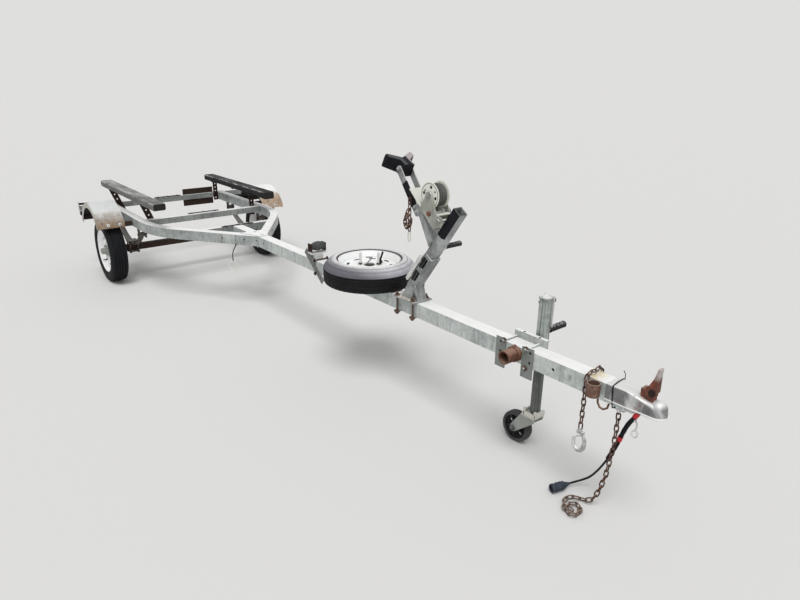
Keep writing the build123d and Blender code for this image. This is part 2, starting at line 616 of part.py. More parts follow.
with BuildPart() as stand:
    sleeve_depth = sleeve_half - SLEEVE_REAR
    with BuildSketch(stand_plane.offset(SLEEVE_START)):
        with Locations((SLEEVE_REAR + sleeve_depth / 2, 0)):
            Rectangle(sleeve_depth, 2 * sleeve_half)
        with Locations((0, 0)):
            Rectangle(2 * post_hole, 2 * post_hole, mode=Mode.SUBTRACT)
    extrude(amount=SLEEVE_END - SLEEVE_START)
    with BuildSketch(side_plane.offset(-sleeve_half)):
        with Locations(((SLEEVE_START + SLEEVE_END) / 2 - 18, post_hole + STRIP_DEPTH / 2)):
            RectangleRounded(STRIP_LENGTH, STRIP_DEPTH, STRIP_DEPTH / 2 - 0.5)
    extrude(amount=2 * sleeve_half)
    for side in (-1, 1):
        for place in (SLEEVE_START + 40, SLEEVE_START + 150):
            with BuildSketch(side_plane.offset(side * (post_hole + SLEEVE_WALL / 2) - 2)):
                with Locations((place, (post_hole - SLEEVE_REAR) / 2)):
                    Rectangle(16, post_hole + SLEEVE_REAR + 12)
            extrude(amount=4)
    add(slots(post_hole - 1, SLEEVE_WALL + 4), mode=Mode.SUBTRACT)
    with Locations(((BASE_REAR + BASE_FRONT) / 2, 0, FRAME_TOP + BASE_PLATE / 2)):
        Box(BASE_FRONT - BASE_REAR, 2 * BASE_HALF, BASE_PLATE)
    for side in (-1, 1):
        with BuildSketch(Plane.XZ.offset(-side * sleeve_half)):
            with BuildLine():
                Polyline(
                    (STAND_FOOT_X - 46, FRAME_TOP + BASE_PLATE), (STAND_FOOT_X + 26, FRAME_TOP + BASE_PLATE),
                    (STAND_FOOT_X + 62, STAND_FOOT_Z + 20), (STAND_FOOT_X + 20, STAND_FOOT_Z + 62),
                    close=True,
                )
            make_face()
        extrude(amount=side * 5)
    with BuildSketch(Plane.XZ.offset(-sleeve_half)):
        with BuildLine():
            Polyline(
                (STAND_FOOT_X + 72, FRAME_TOP + BASE_PLATE), (STAND_FOOT_X + 79, FRAME_TOP + BASE_PLATE),
                (STAND_FOOT_X + 52, STAND_FOOT_Z + 22), (STAND_FOOT_X + 44, STAND_FOOT_Z + 14),
                close=True,
            )
        make_face()
    extrude(amount=2 * sleeve_half)
    for clamp_x in CLAMP_X:
        with Locations((clamp_x, 0, FRAME_BOTTOM - BASE_PLATE / 2)):
            Box(26, 2 * BASE_HALF - 8, BASE_PLATE)
        for side in (-1, 1):
            with Locations((clamp_x, side * (TONGUE / 2 + 9), (FRAME_TOP + 30 + FRAME_BOTTOM - 18) / 2)):
                Cylinder(CLAMP_BOLT_R, TONGUE + 48)
            for nut_z in (FRAME_TOP + BASE_PLATE + 5, FRAME_BOTTOM - BASE_PLATE - 5):
                with Locations((clamp_x, side * (TONGUE / 2 + 9), nut_z)):
                    Cylinder(10, 10)
save(stand.part, "winch_stand_base")

POST_START = 12.0
with BuildPart() as post:
    with BuildSketch(stand_plane.offset(POST_START)):
        Rectangle(POST, POST)
        Rectangle(POST - 2 * POST_WALL, POST - 2 * POST_WALL, mode=Mode.SUBTRACT)
    extrude(amount=STAND_LENGTH - POST_START)
    add(slots(POST / 2 - POST_WALL - 1, POST_WALL + 2), mode=Mode.SUBTRACT)
save(post.part, "winch_post")

# Winch plate, from the rear of the post over the end of the bow arm.
WINCH_PLATE = 5.0
post_rear = Plane((STAND_FOOT_X, 0, STAND_FOOT_Z), z_dir=stand_plane.x_dir).offset(-POST / 2)
plate_run = math.dist(WINCH_LOW, WINCH_HIGH)
plate_u = ((WINCH_HIGH[0] - WINCH_LOW[0]) / plate_run, (WINCH_HIGH[1] - WINCH_LOW[1]) / plate_run)
plate_plane = Plane(
    (WINCH_LOW[0], 0, WINCH_LOW[1]), x_dir=(plate_u[0], 0, plate_u[1]), z_dir=(plate_u[1], 0, -plate_u[0])
)
with BuildPart() as winch_plate:
    with BuildSketch(plate_plane):
        with Locations((plate_run / 2 - 45, 0)):
            Rectangle(plate_run + 90, 2 * ARM_HALF)
    extrude(amount=-WINCH_PLATE)
    split(bisect_by=post_rear, keep=Keep.BOTTOM)
save(winch_plate.part, "winch_plate")

# Bow arm: a channel from the post and two flat bars that carry the bow stop's bolt.
arm_run = math.dist(ARM_FOOT, ARM_HEAD)
arm_u = ((ARM_HEAD[0] - ARM_FOOT[0]) / arm_run, (ARM_HEAD[1] - ARM_FOOT[1]) / arm_run)
arm_plane = Plane((ARM_FOOT[0], 0, ARM_FOOT[1]), x_dir=(0, 1, 0), z_dir=(arm_u[0], 0, arm_u[1]))
bar_run = math.dist(BAR_FOOT, STOP_PIVOT)
bar_turn = math.degrees(math.atan2(STOP_PIVOT[1] - BAR_FOOT[1], STOP_PIVOT[0] - BAR_FOOT[0]))
ARM_TAIL = 90.0
ARM_BAR_WIDTH = 36.0
STOP_BOLT_R = 7.0
with BuildPart() as arm:
    with BuildSketch(arm_plane.offset(-ARM_TAIL)):
        Rectangle(2 * ARM_HALF, ARM_DEPTH)
        with Locations((0, ARM_PLATE)):
            Rectangle(2 * (ARM_HALF - ARM_PLATE), ARM_DEPTH, mode=Mode.SUBTRACT)
    extrude(amount=arm_run + ARM_TAIL)
    split(bisect_by=plate_plane.offset(-WINCH_PLATE), keep=Keep.BOTTOM)
    for side in (-1, 1):
        with BuildSketch(Plane.XZ.offset(-side * ARM_HALF)):
            with Locations(((BAR_FOOT[0] + STOP_PIVOT[0]) / 2, (BAR_FOOT[1] + STOP_PIVOT[1]) / 2)):
                SlotCenterToCenter(bar_run, ARM_BAR_WIDTH, rotation=bar_turn)
        extrude(amount=-side * ARM_PLATE)
    with Locations((STOP_PIVOT[0], 0, STOP_PIVOT[1])):
        Cylinder(STOP_BOLT_R, 2 * ARM_HALF + 30, rotation=(90, 0, 0))
    split(bisect_by=post_rear, keep=Keep.BOTTOM)
save(arm.part, "bow_arm")

# Bow stop: a rubber vee on a cross bolt, tipped so that it opens up and to the rear.
stop_plane = Plane(
    (STOP_PIVOT[0], 0, STOP_PIVOT[1]), x_dir=(-math.cos(STOP_TILT), 0, math.sin(STOP_TILT)),
    z_dir=(math.sin(STOP_TILT), 0, math.cos(STOP_TILT)),
)
stop_front = Plane(stop_plane.origin, x_dir=(0, 1, 0), z_dir=stop_plane.x_dir)
STOP_LOW = -30.0
STOP_HIGH = 43.0
with BuildPart() as stop:
    with BuildSketch(stop_plane.offset(STOP_LOW)):
        with BuildLine():
            Polyline(
                (-27, -STOP_NECK), (17, -STOP_NECK), (61, -99), (84, -78), (40, 0), (84, 78), (61, 99),
                (17, STOP_NECK), (-27, STOP_NECK), close=True,
            )
        make_face()
    extrude(amount=STOP_HIGH - STOP_LOW)
    with BuildSketch(stop_front.offset(-30)):
        with BuildLine():
            Polyline(
                (-STOP_NECK, -STOP_LOW), (STOP_NECK, -STOP_LOW), (99, 19),
                (78, -STOP_HIGH), (-78, -STOP_HIGH), (-99, 19),
                close=True,
            )
        make_face()
    extrude(amount=120, mode=Mode.INTERSECT)
    with Locations((STOP_PIVOT[0], 0, STOP_PIVOT[1])):
        Cylinder(STOP_BOLT_R + 1, 2 * STOP_NECK + 40, rotation=(90, 0, 0), mode=Mode.SUBTRACT)
save(stop.part, "bow_stop")

# Winch frame: a base and two cheeks, joined by a tie bar and a through bolt.
def plate_point(reach):
    """A point of the side view on the winch plate, reach along it from its low end."""
    return (WINCH_LOW[0] + reach * plate_u[0], WINCH_LOW[1] + reach * plate_u[1])


TIE_POINT = (DRUM_X + 62.0, DRUM_Z - 84.0)
BOSS_POINT = (DRUM_X + 78.0, DRUM_Z - 109.0)
HUB_ROUND = 20.0
with BuildPart() as winch_frame:
    with BuildSketch(plate_plane):
        with Locations((plate_run / 2, 0)):
            Rectangle(plate_run, 2 * CHEEK_Y)
    extrude(amount=CHEEK)
    for side in (-1, 1):
        with BuildSketch(Plane.XZ.offset(-side * CHEEK_Y)):
            with BuildLine():
                Polyline(
                    plate_point(4),
                    (BOSS_POINT[0] + 26, BOSS_POINT[1] - 14), (BOSS_POINT[0] + 20, BOSS_POINT[1] + 18),
                    TIE_POINT,
                    (DRUM_X + HUB_ROUND, DRUM_Z), (DRUM_X - HUB_ROUND, DRUM_Z - 2),
                    plate_point(134),
                    close=True,
                )
            make_face()
            with Locations((DRUM_X, DRUM_Z)):
                Circle(HUB_ROUND)
            with Locations((PINION_X, PINION_Z)):
                Circle(SHAFT_R + SHAFT_FIT, mode=Mode.SUBTRACT)
        extrude(amount=side * CHEEK)
    with Locations((TIE_POINT[0] - 4, 0, TIE_POINT[1])):
        Box(22, 2 * CHEEK_Y, 5, rotation=(0, 12, 0))
    with Locations((BOSS_POINT[0], 0, BOSS_POINT[1])):
        Cylinder(SHAFT_R, 2 * CHEEK_Y + 24, rotation=(90, 0, 0))
    for side in (-1, 1):
        with Locations((BOSS_POINT[0], side * (CHEEK_Y + CHEEK + 4), BOSS_POINT[1])):
            Cylinder(13, 8, rotation=(90, 0, 0))
    with Locations((DRUM_X, 0, DRUM_Z)):
        Cylinder(SHAFT_R, 2 * CHEEK_Y + 16, rotation=(90, 0, 0))
save(winch_frame.part, "winch_frame")


# Gears: shallow straight-sided teeth, with play between the wheel and its pinion.
TOOTH_ADDENDUM = 2.1
TOOTH_DEDENDUM = 3.2
TOOTH_TIP = 0.22
TOOTH_ROOT = 0.62


def gear_face(teeth, turn):
    """Outline of a toothed wheel about the origin; turn is the angle of one tooth's middle."""
    pitch_r = GEAR_MODULE * teeth / 2
    step = 2 * math.pi / teeth
    points = []
    for number in range(teeth):
        middle = turn + number * step
        for radius, share in (
            (pitch_r - TOOTH_DEDENDUM, -TOOTH_ROOT / 2), (pitch_r + TOOTH_ADDENDUM, -TOOTH_TIP / 2),
            (pitch_r + TOOTH_ADDENDUM, TOOTH_TIP / 2), (pitch_r - TOOTH_DEDENDUM, TOOTH_ROOT / 2),
        ):
            angle = middle + share * step
            points.append((radius * math.cos(angle), radius * math.sin(angle)))
    with BuildSketch() as face:
        with BuildLine():
            Polyline(*points, close=True)
        make_face()
    return face.sketch


DRUM_SHEET = 3.0
GEAR_THICK = 5.0
FLANGE_HOLE_R = 6.0
FLANGE_HOLES = 3
drum_plane = Plane((DRUM_X, 0, DRUM_Z), x_dir=(0, 1, 0), z_dir=(1, 0, 0))
drum_axis = Axis((DRUM_X, 0, DRUM_Z), (0, 1, 0))
drum_side = Plane((DRUM_X, 0, DRUM_Z), x_dir=(1, 0, 0), z_dir=(0, -1, 0))
with BuildPart() as drum:
    with BuildSketch(drum_plane):
        with BuildLine():
            Polyline(
                (-DRUM_HALF, SHAFT_R + SHAFT_FIT), (-DRUM_HALF, DRUM_FLANGE_R),
                (-DRUM_HALF + DRUM_SHEET, DRUM_FLANGE_R), (-DRUM_HALF + DRUM_SHEET, DRUM_CORE_R),
                (DRUM_HALF, DRUM_CORE_R), (DRUM_HALF, SHAFT_R + SHAFT_FIT),
                close=True,
            )
        make_face()
    revolve(axis=drum_axis)
    with BuildSketch(drum_side.offset(-DRUM_HALF)):
        add(gear_face(GEAR_TEETH, PINION_TURN))
        Circle(SHAFT_R + SHAFT_FIT, mode=Mode.SUBTRACT)
    extrude(amount=GEAR_THICK)
    with BuildSketch(drum_side.offset(DRUM_HALF + 1)):
        with PolarLocations(40, FLANGE_HOLES, start_angle=30):
            Circle(FLANGE_HOLE_R)
    extrude(amount=-DRUM_SHEET - 2, mode=Mode.SUBTRACT)
save(drum.part, "winch_drum")

STRAP_OUTER_R = 46.0
with BuildPart() as strap:
    with BuildSketch(drum_plane):
        with Locations((-1, (DRUM_CORE_R + STRAP_OUTER_R) / 2)):
            Rectangle(2 * DRUM_HALF - 12, STRAP_OUTER_R - DRUM_CORE_R)
    revolve(axis=drum_axis)
save(strap.part, "winch_strap")

# Crank: shaft with the pinion, arm and grip.
GRIP_R = 13.0
GRIP_LENGTH = 110.0
crank_end = (PINION_X - CRANK_ARM * math.sin(CRANK_BACK), PINION_Z - CRANK_ARM * math.cos(CRANK_BACK))
pinion_side = Plane((PINION_X, 0, PINION_Z), x_dir=(1, 0, 0), z_dir=(0, -1, 0))
pinion_start = PINION_TURN + math.pi + math.pi / PINION_TEETH
with BuildPart() as crank:
    with Locations((PINION_X, (CRANK_Y - CHEEK_Y) / 2 - 2, PINION_Z)):
        Cylinder(SHAFT_R, CRANK_Y + CHEEK_Y + 12, rotation=(90, 0, 0))
    with BuildSketch(pinion_side.offset(-DRUM_HALF - 3)):
        add(gear_face(PINION_TEETH, pinion_start))
    extrude(amount=GEAR_THICK + 6)
    with Locations(((PINION_X + crank_end[0]) / 2, CRANK_Y, (PINION_Z + crank_end[1]) / 2)):
        Box(22, 6, CRANK_ARM + 24, rotation=(0, math.degrees(CRANK_BACK), 0))
    with Locations((crank_end[0], CRANK_Y + 3 + GRIP_LENGTH / 2, crank_end[1])):
        Cylinder(GRIP_R, GRIP_LENGTH, rotation=(90, 0, 0))
save(crank.part, "winch_crank")

# Chains: open links with square bars, each joined to the next at a point of the path.
with BuildPart() as chain_link:
    with BuildSketch():
        outer = Rectangle(CHAIN_INNER + 2 * CHAIN_WIRE, CHAIN_WIDTH)
        chamfer(outer.vertices(), CHAIN_WIRE)
        hole = Rectangle(CHAIN_INNER, CHAIN_WIDTH - 2 * CHAIN_WIRE, mode=Mode.SUBTRACT)
    extrude(amount=CHAIN_WIRE / 2, both=True)


def along_path(knots, reach):
    """The point that lies reach along the straight runs between knots."""
    for start, end in zip(knots, knots[1:]):
        run = (end - start).length
        if reach <= run:
            return start + (end - start) * (reach / run)
        reach -= run
    return None


def chain_joints(path):
    """Points on the path that are one pitch apart in a straight line."""
    knots = [Vector(*point) for point in path]
    joints = [knots[0]]
    reach = 0.0
    while along_path(knots, reach + 2 * CHAIN_PITCH):
        low = reach
        high = reach + 2 * CHAIN_PITCH
        for _ in range(40):
            middle = (low + high) / 2
            if (along_path(knots, middle) - joints[-1]).length < CHAIN_PITCH:
                low = middle
            else:
                high = middle
        reach = high
        joints.append(along_path(knots, reach))
    return joints


def chain(path, flat):
    """Links along a path of points; flat names the direction that the first link's face looks."""
    joints = chain_joints(path)
    with BuildPart() as links:
        for number, (start, end) in enumerate(zip(joints, joints[1:])):
            along = (end - start).normalized()
            face = Vector(*flat)
            face = (face - along * face.dot(along)).normalized()
            if number % 2:
                face = along.cross(face)
            with Locations(Plane((start + end) * 0.5, x_dir=along, z_dir=face).location):
                add(chain_link.part)
    return links.part


# Jack: mounting straps, swivel tube, crank, inner tube, fork and caster wheel.
STRAP_PLATE = 6.0
MOUNT_PLATE = 8.0
MOUNT_X = JACK_X - 17.0
MOUNT_LENGTH = 175.0
MOUNT_LIP = 6.0
MOUNT_STRAPS = ((JACK_X - 112.0, 54.0), (JACK_X + 38.0, 60.0))
MOUNT_RODS = (JACK_X - 93.0, JACK_X + 31.0)
STRAP_LOW = 430.0
STRAP_HIGH = 574.0
MOUNT_LOW = 462.0
MOUNT_HIGH = 592.0
SWIVEL_R = 30.0
SWIVEL_LENGTH = 18.0
with BuildPart() as jack_mount:
    with Locations((MOUNT_X, TONGUE / 2 + MOUNT_PLATE / 2, (MOUNT_LOW + MOUNT_HIGH) / 2)):
        Box(MOUNT_LENGTH, MOUNT_PLATE, MOUNT_HIGH - MOUNT_LOW)
    for lip_z in (MOUNT_LOW + MOUNT_LIP / 2, MOUNT_HIGH - MOUNT_LIP / 2):
        with Locations((MOUNT_X, TONGUE / 2 + 10, lip_z)):
            Box(MOUNT_LENGTH, 20, MOUNT_LIP)
    for strap_x, strap_width in MOUNT_STRAPS:
        with Locations((strap_x, -TONGUE / 2 - STRAP_PLATE / 2, (STRAP_LOW + STRAP_HIGH) / 2)):
            Box(strap_width, STRAP_PLATE, STRAP_HIGH - STRAP_LOW)
    for rod_x in MOUNT_RODS:
        for rod_z in (FRAME_TOP + 6.5, FRAME_BOTTOM - 6.5):
            with Locations((rod_x, 0, rod_z)):
                Cylinder(5, TONGUE + 40, rotation=(90, 0, 0))
    with Locations((JACK_X, TONGUE / 2 + MOUNT_PLATE + SWIVEL_LENGTH / 2, JACK_PIVOT_Z)):
        Cylinder(SWIVEL_R, SWIVEL_LENGTH, rotation=(90, 0, 0))
save(jack_mount.part, "jack_mount")

STUB_R = 30.0
STUB_WALL = 5.0
STUB_LENGTH = 80.0
STUB_COLLAR_R = 35.0
STUB_COLLAR = 24.0
stub_x = JACK_X - 28
stub_z = TONGUE_MID + 4
with BuildPart() as stub:
    with Locations((stub_x, -(TONGUE + STUB_LENGTH) / 2, stub_z)):
        Cylinder(STUB_R, STUB_LENGTH, rotation=(90, 0, 0))
    with Locations((stub_x, -(TONGUE + STUB_COLLAR) / 2, stub_z)):
        Cylinder(STUB_COLLAR_R, STUB_COLLAR, rotation=(90, 0, 0))
    with Locations((stub_x, -(TONGUE + STUB_LENGTH) / 2 - 2, stub_z)):
        Cylinder(STUB_R - STUB_WALL, STUB_LENGTH, rotation=(90, 0, 0), mode=Mode.SUBTRACT)
save(stub.part, "pipe_stub")

JACK_COLLAR_Y = TONGUE / 2 + MOUNT_PLATE + SWIVEL_LENGTH + SHAFT_FIT
JACK_CRANK_Z = JACK_TOP - 28.0
JACK_CRANK_ARM = 140.0
JACK_BOSS_R = 15.0
jack_side = JACK_Y + JACK_OUTER_R
with BuildPart() as jack_outer:
    with Locations((JACK_X, JACK_Y, (JACK_TOP + JACK_TUBE_BOTTOM) / 2)):
        Cylinder(JACK_OUTER_R, JACK_TOP - JACK_TUBE_BOTTOM)
    with Locations((JACK_X, JACK_Y, (JACK_TOP + JACK_TUBE_BOTTOM) / 2 - 6)):
        Cylinder(JACK_INNER_R + SHAFT_FIT, JACK_TOP - JACK_TUBE_BOTTOM, mode=Mode.SUBTRACT)
    with Locations((JACK_X, (JACK_COLLAR_Y + JACK_Y - JACK_INNER_R - 2) / 2, JACK_PIVOT_Z)):
        Cylinder(SWIVEL_R, JACK_Y - JACK_INNER_R - 2 - JACK_COLLAR_Y, rotation=(90, 0, 0))
    with Locations((JACK_X, jack_side + 2, JACK_CRANK_Z)):
        Cylinder(JACK_BOSS_R, 12, rotation=(90, 0, 0))
        Cylinder(SHAFT_R + SHAFT_FIT, 13, rotation=(90, 0, 0), mode=Mode.SUBTRACT)
save(jack_outer.part, "jack_outer")

with BuildPart() as jack_crank:
    with Locations((JACK_X, jack_side + 10, JACK_CRANK_Z)):
        Cylinder(SHAFT_R, 20, rotation=(90, 0, 0))
    with Locations((JACK_X, jack_side + 20, JACK_CRANK_Z - JACK_CRANK_ARM / 2)):
        Box(18, 6, JACK_CRANK_ARM + 20)
    with Locations((JACK_X, jack_side + 20 + 50, JACK_CRANK_Z - JACK_CRANK_ARM)):
        Cylinder(GRIP_R, 96, rotation=(90, 0, 0))
save(jack_crank.part, "jack_crank")

with BuildPart() as jack_inner:
    with Locations((JACK_X, JACK_Y, (FORK_TOP + JACK_INNER_TOP) / 2)):
        Cylinder(JACK_INNER_R, JACK_INNER_TOP - FORK_TOP)
save(jack_inner.part, "jack_inner")

FORK_SIDE = 34.0
FORK_SHEET = 4.0
caster_x = JACK_X - CASTER_TRAIL
with BuildPart() as fork:
    with Locations((JACK_X - 6, JACK_Y, FORK_TOP - 4.8)):
        Box(72, 2 * FORK_SIDE, 9)
    for side in (-1, 1):
        with BuildSketch(Plane.XZ.offset(-JACK_Y - side * FORK_SIDE)):
            with BuildLine():
                Polyline(
                    (JACK_X + 30, FORK_TOP - 1), (JACK_X + 22, FORK_TOP - 40), (caster_x + 12, CASTER_R - 14),
                    (caster_x - 14, CASTER_R - 14), (caster_x - 16, CASTER_R + 12),
                    (JACK_X - 42, FORK_TOP - 1),
                    close=True,
                )
            make_face()
        extrude(amount=side * FORK_SHEET)
    with Locations((caster_x, JACK_Y, CASTER_R)):
        Cylinder(6, 2 * FORK_SIDE + 8, rotation=(90, 0, 0))
save(fork.part, "caster_fork")

CASTER_HOLES = 5
with BuildPart() as caster:
    with BuildSketch(Plane((caster_x, JACK_Y, CASTER_R), x_dir=(0, 1, 0), z_dir=(1, 0, 0))):
        with BuildLine():
            Polyline(
                (-24, 7), (-24, 20), (-8, 24), (-8, 56),
                (-CASTER_WIDTH / 2, 60), (-CASTER_WIDTH / 2, CASTER_R - 4), (-12, CASTER_R),
                (12, CASTER_R), (CASTER_WIDTH / 2, CASTER_R - 4), (CASTER_WIDTH / 2, 60),
                (8, 56), (8, 24), (24, 20), (24, 7),
                close=True,
            )
        make_face()
    revolve(axis=Axis((caster_x, JACK_Y, CASTER_R), (0, 1, 0)))
    with BuildSketch(Plane((caster_x, JACK_Y + CASTER_WIDTH, CASTER_R), x_dir=(1, 0, 0), z_dir=(0, -1, 0))):
        with PolarLocations(40, CASTER_HOLES, start_angle=12):
            Circle(11)
    extrude(amount=2 * CASTER_WIDTH, mode=Mode.SUBTRACT)
save(caster.part, "caster_wheel")

# Coupler: a pressed channel over the tongue's end, running into the ball socket.
COUPLER_SHEET = 4.0
COUPLER_REAR = NOSE_X - 228.0
COUPLER_TOP = FRAME_TOP + COUPLER_SHEET
FLANGE_Z = 500.0
SOCKET_R = 32.0
BALL_R = 26.0
half_width = TONGUE / 2 + COUPLER_SHEET
neck_x = NOSE_X - 140.0
with BuildPart() as coupler:
    with BuildSketch(Plane.XY.offset(FLANGE_Z)) as plan:
        with BuildLine():
            Polyline(
                (COUPLER_REAR, -half_width), (neck_x, -half_width), (BALL_X - 6, -SOCKET_R),
                (BALL_X - 6, SOCKET_R), (neck_x, half_width), (COUPLER_REAR, half_width),
                close=True,
            )
        make_face()
    extrude(amount=COUPLER_TOP - FLANGE_Z)
    with Locations((BALL_X, 0, (FLANGE_Z + COUPLER_TOP) / 2)):
        Cylinder(SOCKET_R, COUPLER_TOP - FLANGE_Z)
    with Locations((BALL_X, 0, COUPLER_TOP - 20)):
        Sphere(SOCKET_R)
    with BuildSketch(Plane.XY.offset(FLANGE_Z - COUPLER_SHEET)):
        offset(plan.sketch, amount=10)
        with Locations((BALL_X, 0)):
            Circle(NOSE_X - BALL_X)
    extrude(amount=COUPLER_SHEET)
    with Locations(((COUPLER_REAR + TONGUE_FRONT) / 2 - 20, 0, TONGUE_MID)):
        Box(TONGUE_FRONT - COUPLER_REAR + 41, TONGUE, TONGUE, mode=Mode.SUBTRACT)
    with Locations((BALL_X, 0, FLANGE_Z + 15)):
        Cylinder(BALL_R, 40, mode=Mode.SUBTRACT)
        Sphere(BALL_R, mode=Mode.SUBTRACT)
save(coupler.part, "coupler")

# Latch: a rusty housing and its raised lever, wider at the foot.
LATCH_X = NOSE_X - 80.0
with BuildPart() as latch:
    with Locations((LATCH_X, 0, COUPLER_TOP + 13)):
        Box(50, 34, 26)
    with Locations((BALL_X, 0, COUPLER_TOP - 20)):
        Sphere(SOCKET_R, mode=Mode.SUBTRACT)
    with BuildSketch(Plane((LATCH_X + 24, 0, COUPLER_TOP + 20), x_dir=(0, 1, 0), z_dir=(1, 0, 0))):
        with BuildLine():
            Polyline((-17, 0), (17, 0), (13, 96), (-13, 96), close=True)
        make_face()
    extrude(amount=7)
save(latch.part, "coupler_latch")

# Chain ring: a short rusty pipe welded upright on the near face.
RING_X = NOSE_X - 268.0
RING_R = 27.0
with BuildPart() as chain_ring:
    with Locations((RING_X, -TONGUE / 2 - RING_R + 1, TONGUE_MID + 8)):
        Cylinder(RING_R, 55)
        Cylinder(RING_R - 5, 56, mode=Mode.SUBTRACT)
    with Locations((RING_X, 0, TONGUE_MID)):
        Box(80, TONGUE, TONGUE, mode=Mode.SUBTRACT)
save(chain_ring.part, "chain_ring")

# Short chain over the tongue, with an open hook at its near end.
SHORT_X = NOSE_X - 308.0
HOOK_R = 32.0
HOOK_BAR = 12.0
HOOK_THICK = 9.0
HOOK_Z = 230.0
short_path = (
    (SHORT_X, 52, 480), (SHORT_X, 57, 555), (SHORT_X, 37, 578), (SHORT_X, 0, 570),
    (SHORT_X, -37, 578), (SHORT_X, -57, 555), (SHORT_X, -52, 480), (SHORT_X, -50, 290),
)
shank_top = chain_joints(short_path)[-1].Z - 4
with BuildPart() as short_chain:
    add(chain(short_path, (1, 0, 0)))
    with BuildSketch(Plane((SHORT_X, short_path[-1][1], 0), x_dir=(1, 0, 0), z_dir=(0, -1, 0))):
        with Locations((HOOK_R - HOOK_BAR - 12, HOOK_Z)):
            Circle(HOOK_R)
            Circle(HOOK_R - HOOK_BAR, mode=Mode.SUBTRACT)
        with Locations((HOOK_R - 4, HOOK_Z + HOOK_BAR)):
            Rectangle(2 * HOOK_BAR, HOOK_BAR, mode=Mode.SUBTRACT)
        with Locations((-2, (shank_top + HOOK_Z + HOOK_R - HOOK_BAR) / 2)):
            Rectangle(HOOK_BAR, shank_top - HOOK_Z - HOOK_R + HOOK_BAR)
    extrude(amount=HOOK_THICK / 2, both=True)
save(short_chain.part, "chain_short")

# Long chain, hanging from under the coupler into a loose pile on the ground.
PILE_Z = 12.0
long_path = (
    (NOSE_X - 174, -18, 475.6), (NOSE_X - 175, -18, 300), (NOSE_X - 188, -20, 160), (NOSE_X - 206, -26, 70),
    (NOSE_X - 226, -34, 24), (NOSE_X - 252, -42, PILE_Z),
    (NOSE_X - 284, -50, PILE_Z), (NOSE_X - 308, -72, PILE_Z),
    (NOSE_X - 306, -104, PILE_Z), (NOSE_X - 284, -136, PILE_Z), (NOSE_X - 256, -160, PILE_Z),
    (NOSE_X - 226, -158, PILE_Z), (NOSE_X - 214, -132, PILE_Z), (NOSE_X - 226, -104, PILE_Z),
    (NOSE_X - 250, -84, PILE_Z), (NOSE_X - 274, -90, PILE_Z), (NOSE_X - 282, -116, PILE_Z),
)
save(chain(long_path, (1, 0, 0)), "chain_long")

bow_path = ((NOSE_X - 1386, -49.5, 1090), (NOSE_X - 1386, -49.5, 900))
save(chain(bow_path, (1, 0, 0)), "bow_chain")

# Light cable and plug.
CABLE_R = 4.5
CABLE_POINTS = (
    (NOSE_X - 100, 2, 494), (NOSE_X - 115, 4, 458), (NOSE_X - 146, 8, 405), (NOSE_X - 163, 8, 350),
    (NOSE_X - 178, 9, 295), (NOSE_X - 198, 14, 240), (NOSE_X - 222, 24, 186), (NOSE_X - 254, 36, 124),
    (NOSE_X - 288, 44, 68), (NOSE_X - 316, 38, 40), (NOSE_X - 340, 12, 26), (NOSE_X - 350, -18, 25),
)
runs = [math.dist(start, end) for start, end in zip(CABLE_POINTS, CABLE_POINTS[1:])]
radii = []
for before, here, after in zip(CABLE_POINTS, CABLE_POINTS[1:], CABLE_POINTS[2:]):
    first = Vector(*here) - Vector(*before)
    second = Vector(*after) - Vector(*here)
    half_turn = math.radians(first.get_angle(second)) / 2
    radii.append(0.45 * min(first.length, second.length) / math.tan(half_turn))
print("cable radii", [round(radius) for radius in radii], "runs", [round(run) for run in runs])
with BuildPart() as cable:
    with BuildLine():
        route = FilletPolyline(*CABLE_POINTS, radius=radii)
    with BuildSketch(Plane(route @ 0, z_dir=route % 0)):
        Circle(CABLE_R)
    sweep(path=route)
print("cable volume", cable.part.volume, "section by length", math.pi * CABLE_R ** 2 * route.length)
save(cable.part, "cable")

PLUG_NECK = 24.0
PLUG_LENGTH = 86.0
plug_axis = (Vector(*CABLE_POINTS[-1]) - Vector(*CABLE_POINTS[-2])).normalized()
plug_plane = Plane(CABLE_POINTS[-1], z_dir=plug_axis)
with BuildPart() as plug:
    with BuildSketch(plug_plane):
        Circle(13)
    extrude(amount=PLUG_NECK)
    with BuildSketch(plug_plane.offset(PLUG_NECK)):
        Circle(19)
    extrude(amount=PLUG_LENGTH - PLUG_NECK)
save(plug.part, "plug")

# Wire with a ring, hanging under the near rail and swinging a little to the rear.
WIRE_R = 3.0
WIRE_Y = -160.0
WIRE_RING_R = 30.0
WIRE_POINTS = (
    (REAR_X + 1868.0, WIRE_Y, FRAME_BOTTOM), (REAR_X + 1860.0, WIRE_Y, 440.0),
    (REAR_X + 1842.0, WIRE_Y, 404.0), (REAR_X + 1842.0, WIRE_Y, 348.0),
)
with BuildPart() as wire:
    with BuildLine():
        drop = Polyline(*WIRE_POINTS)
    with BuildSketch(Plane(drop @ 0, z_dir=drop % 0)):
        Rectangle(2 * WIRE_R, 2 * WIRE_R)
    sweep(path=drop, transition=Transition.RIGHT)
    ring_centre = (WIRE_POINTS[-1][0], WIRE_Y, WIRE_POINTS[-1][2] - WIRE_RING_R + WIRE_R)
    with BuildSketch(Plane(ring_centre, x_dir=(1, 0, 0), z_dir=(0, 1, 0))):
        Circle(WIRE_RING_R)
        Circle(WIRE_RING_R - 2 * WIRE_R, mode=Mode.SUBTRACT)
    extrude(amount=WIRE_R, both=True)
save(wire.part, "hanging_wire")
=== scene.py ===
"""Looks of the boat trailer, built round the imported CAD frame."""
import math

import bmesh
import bpy
from mathutils import Matrix, Vector, noise


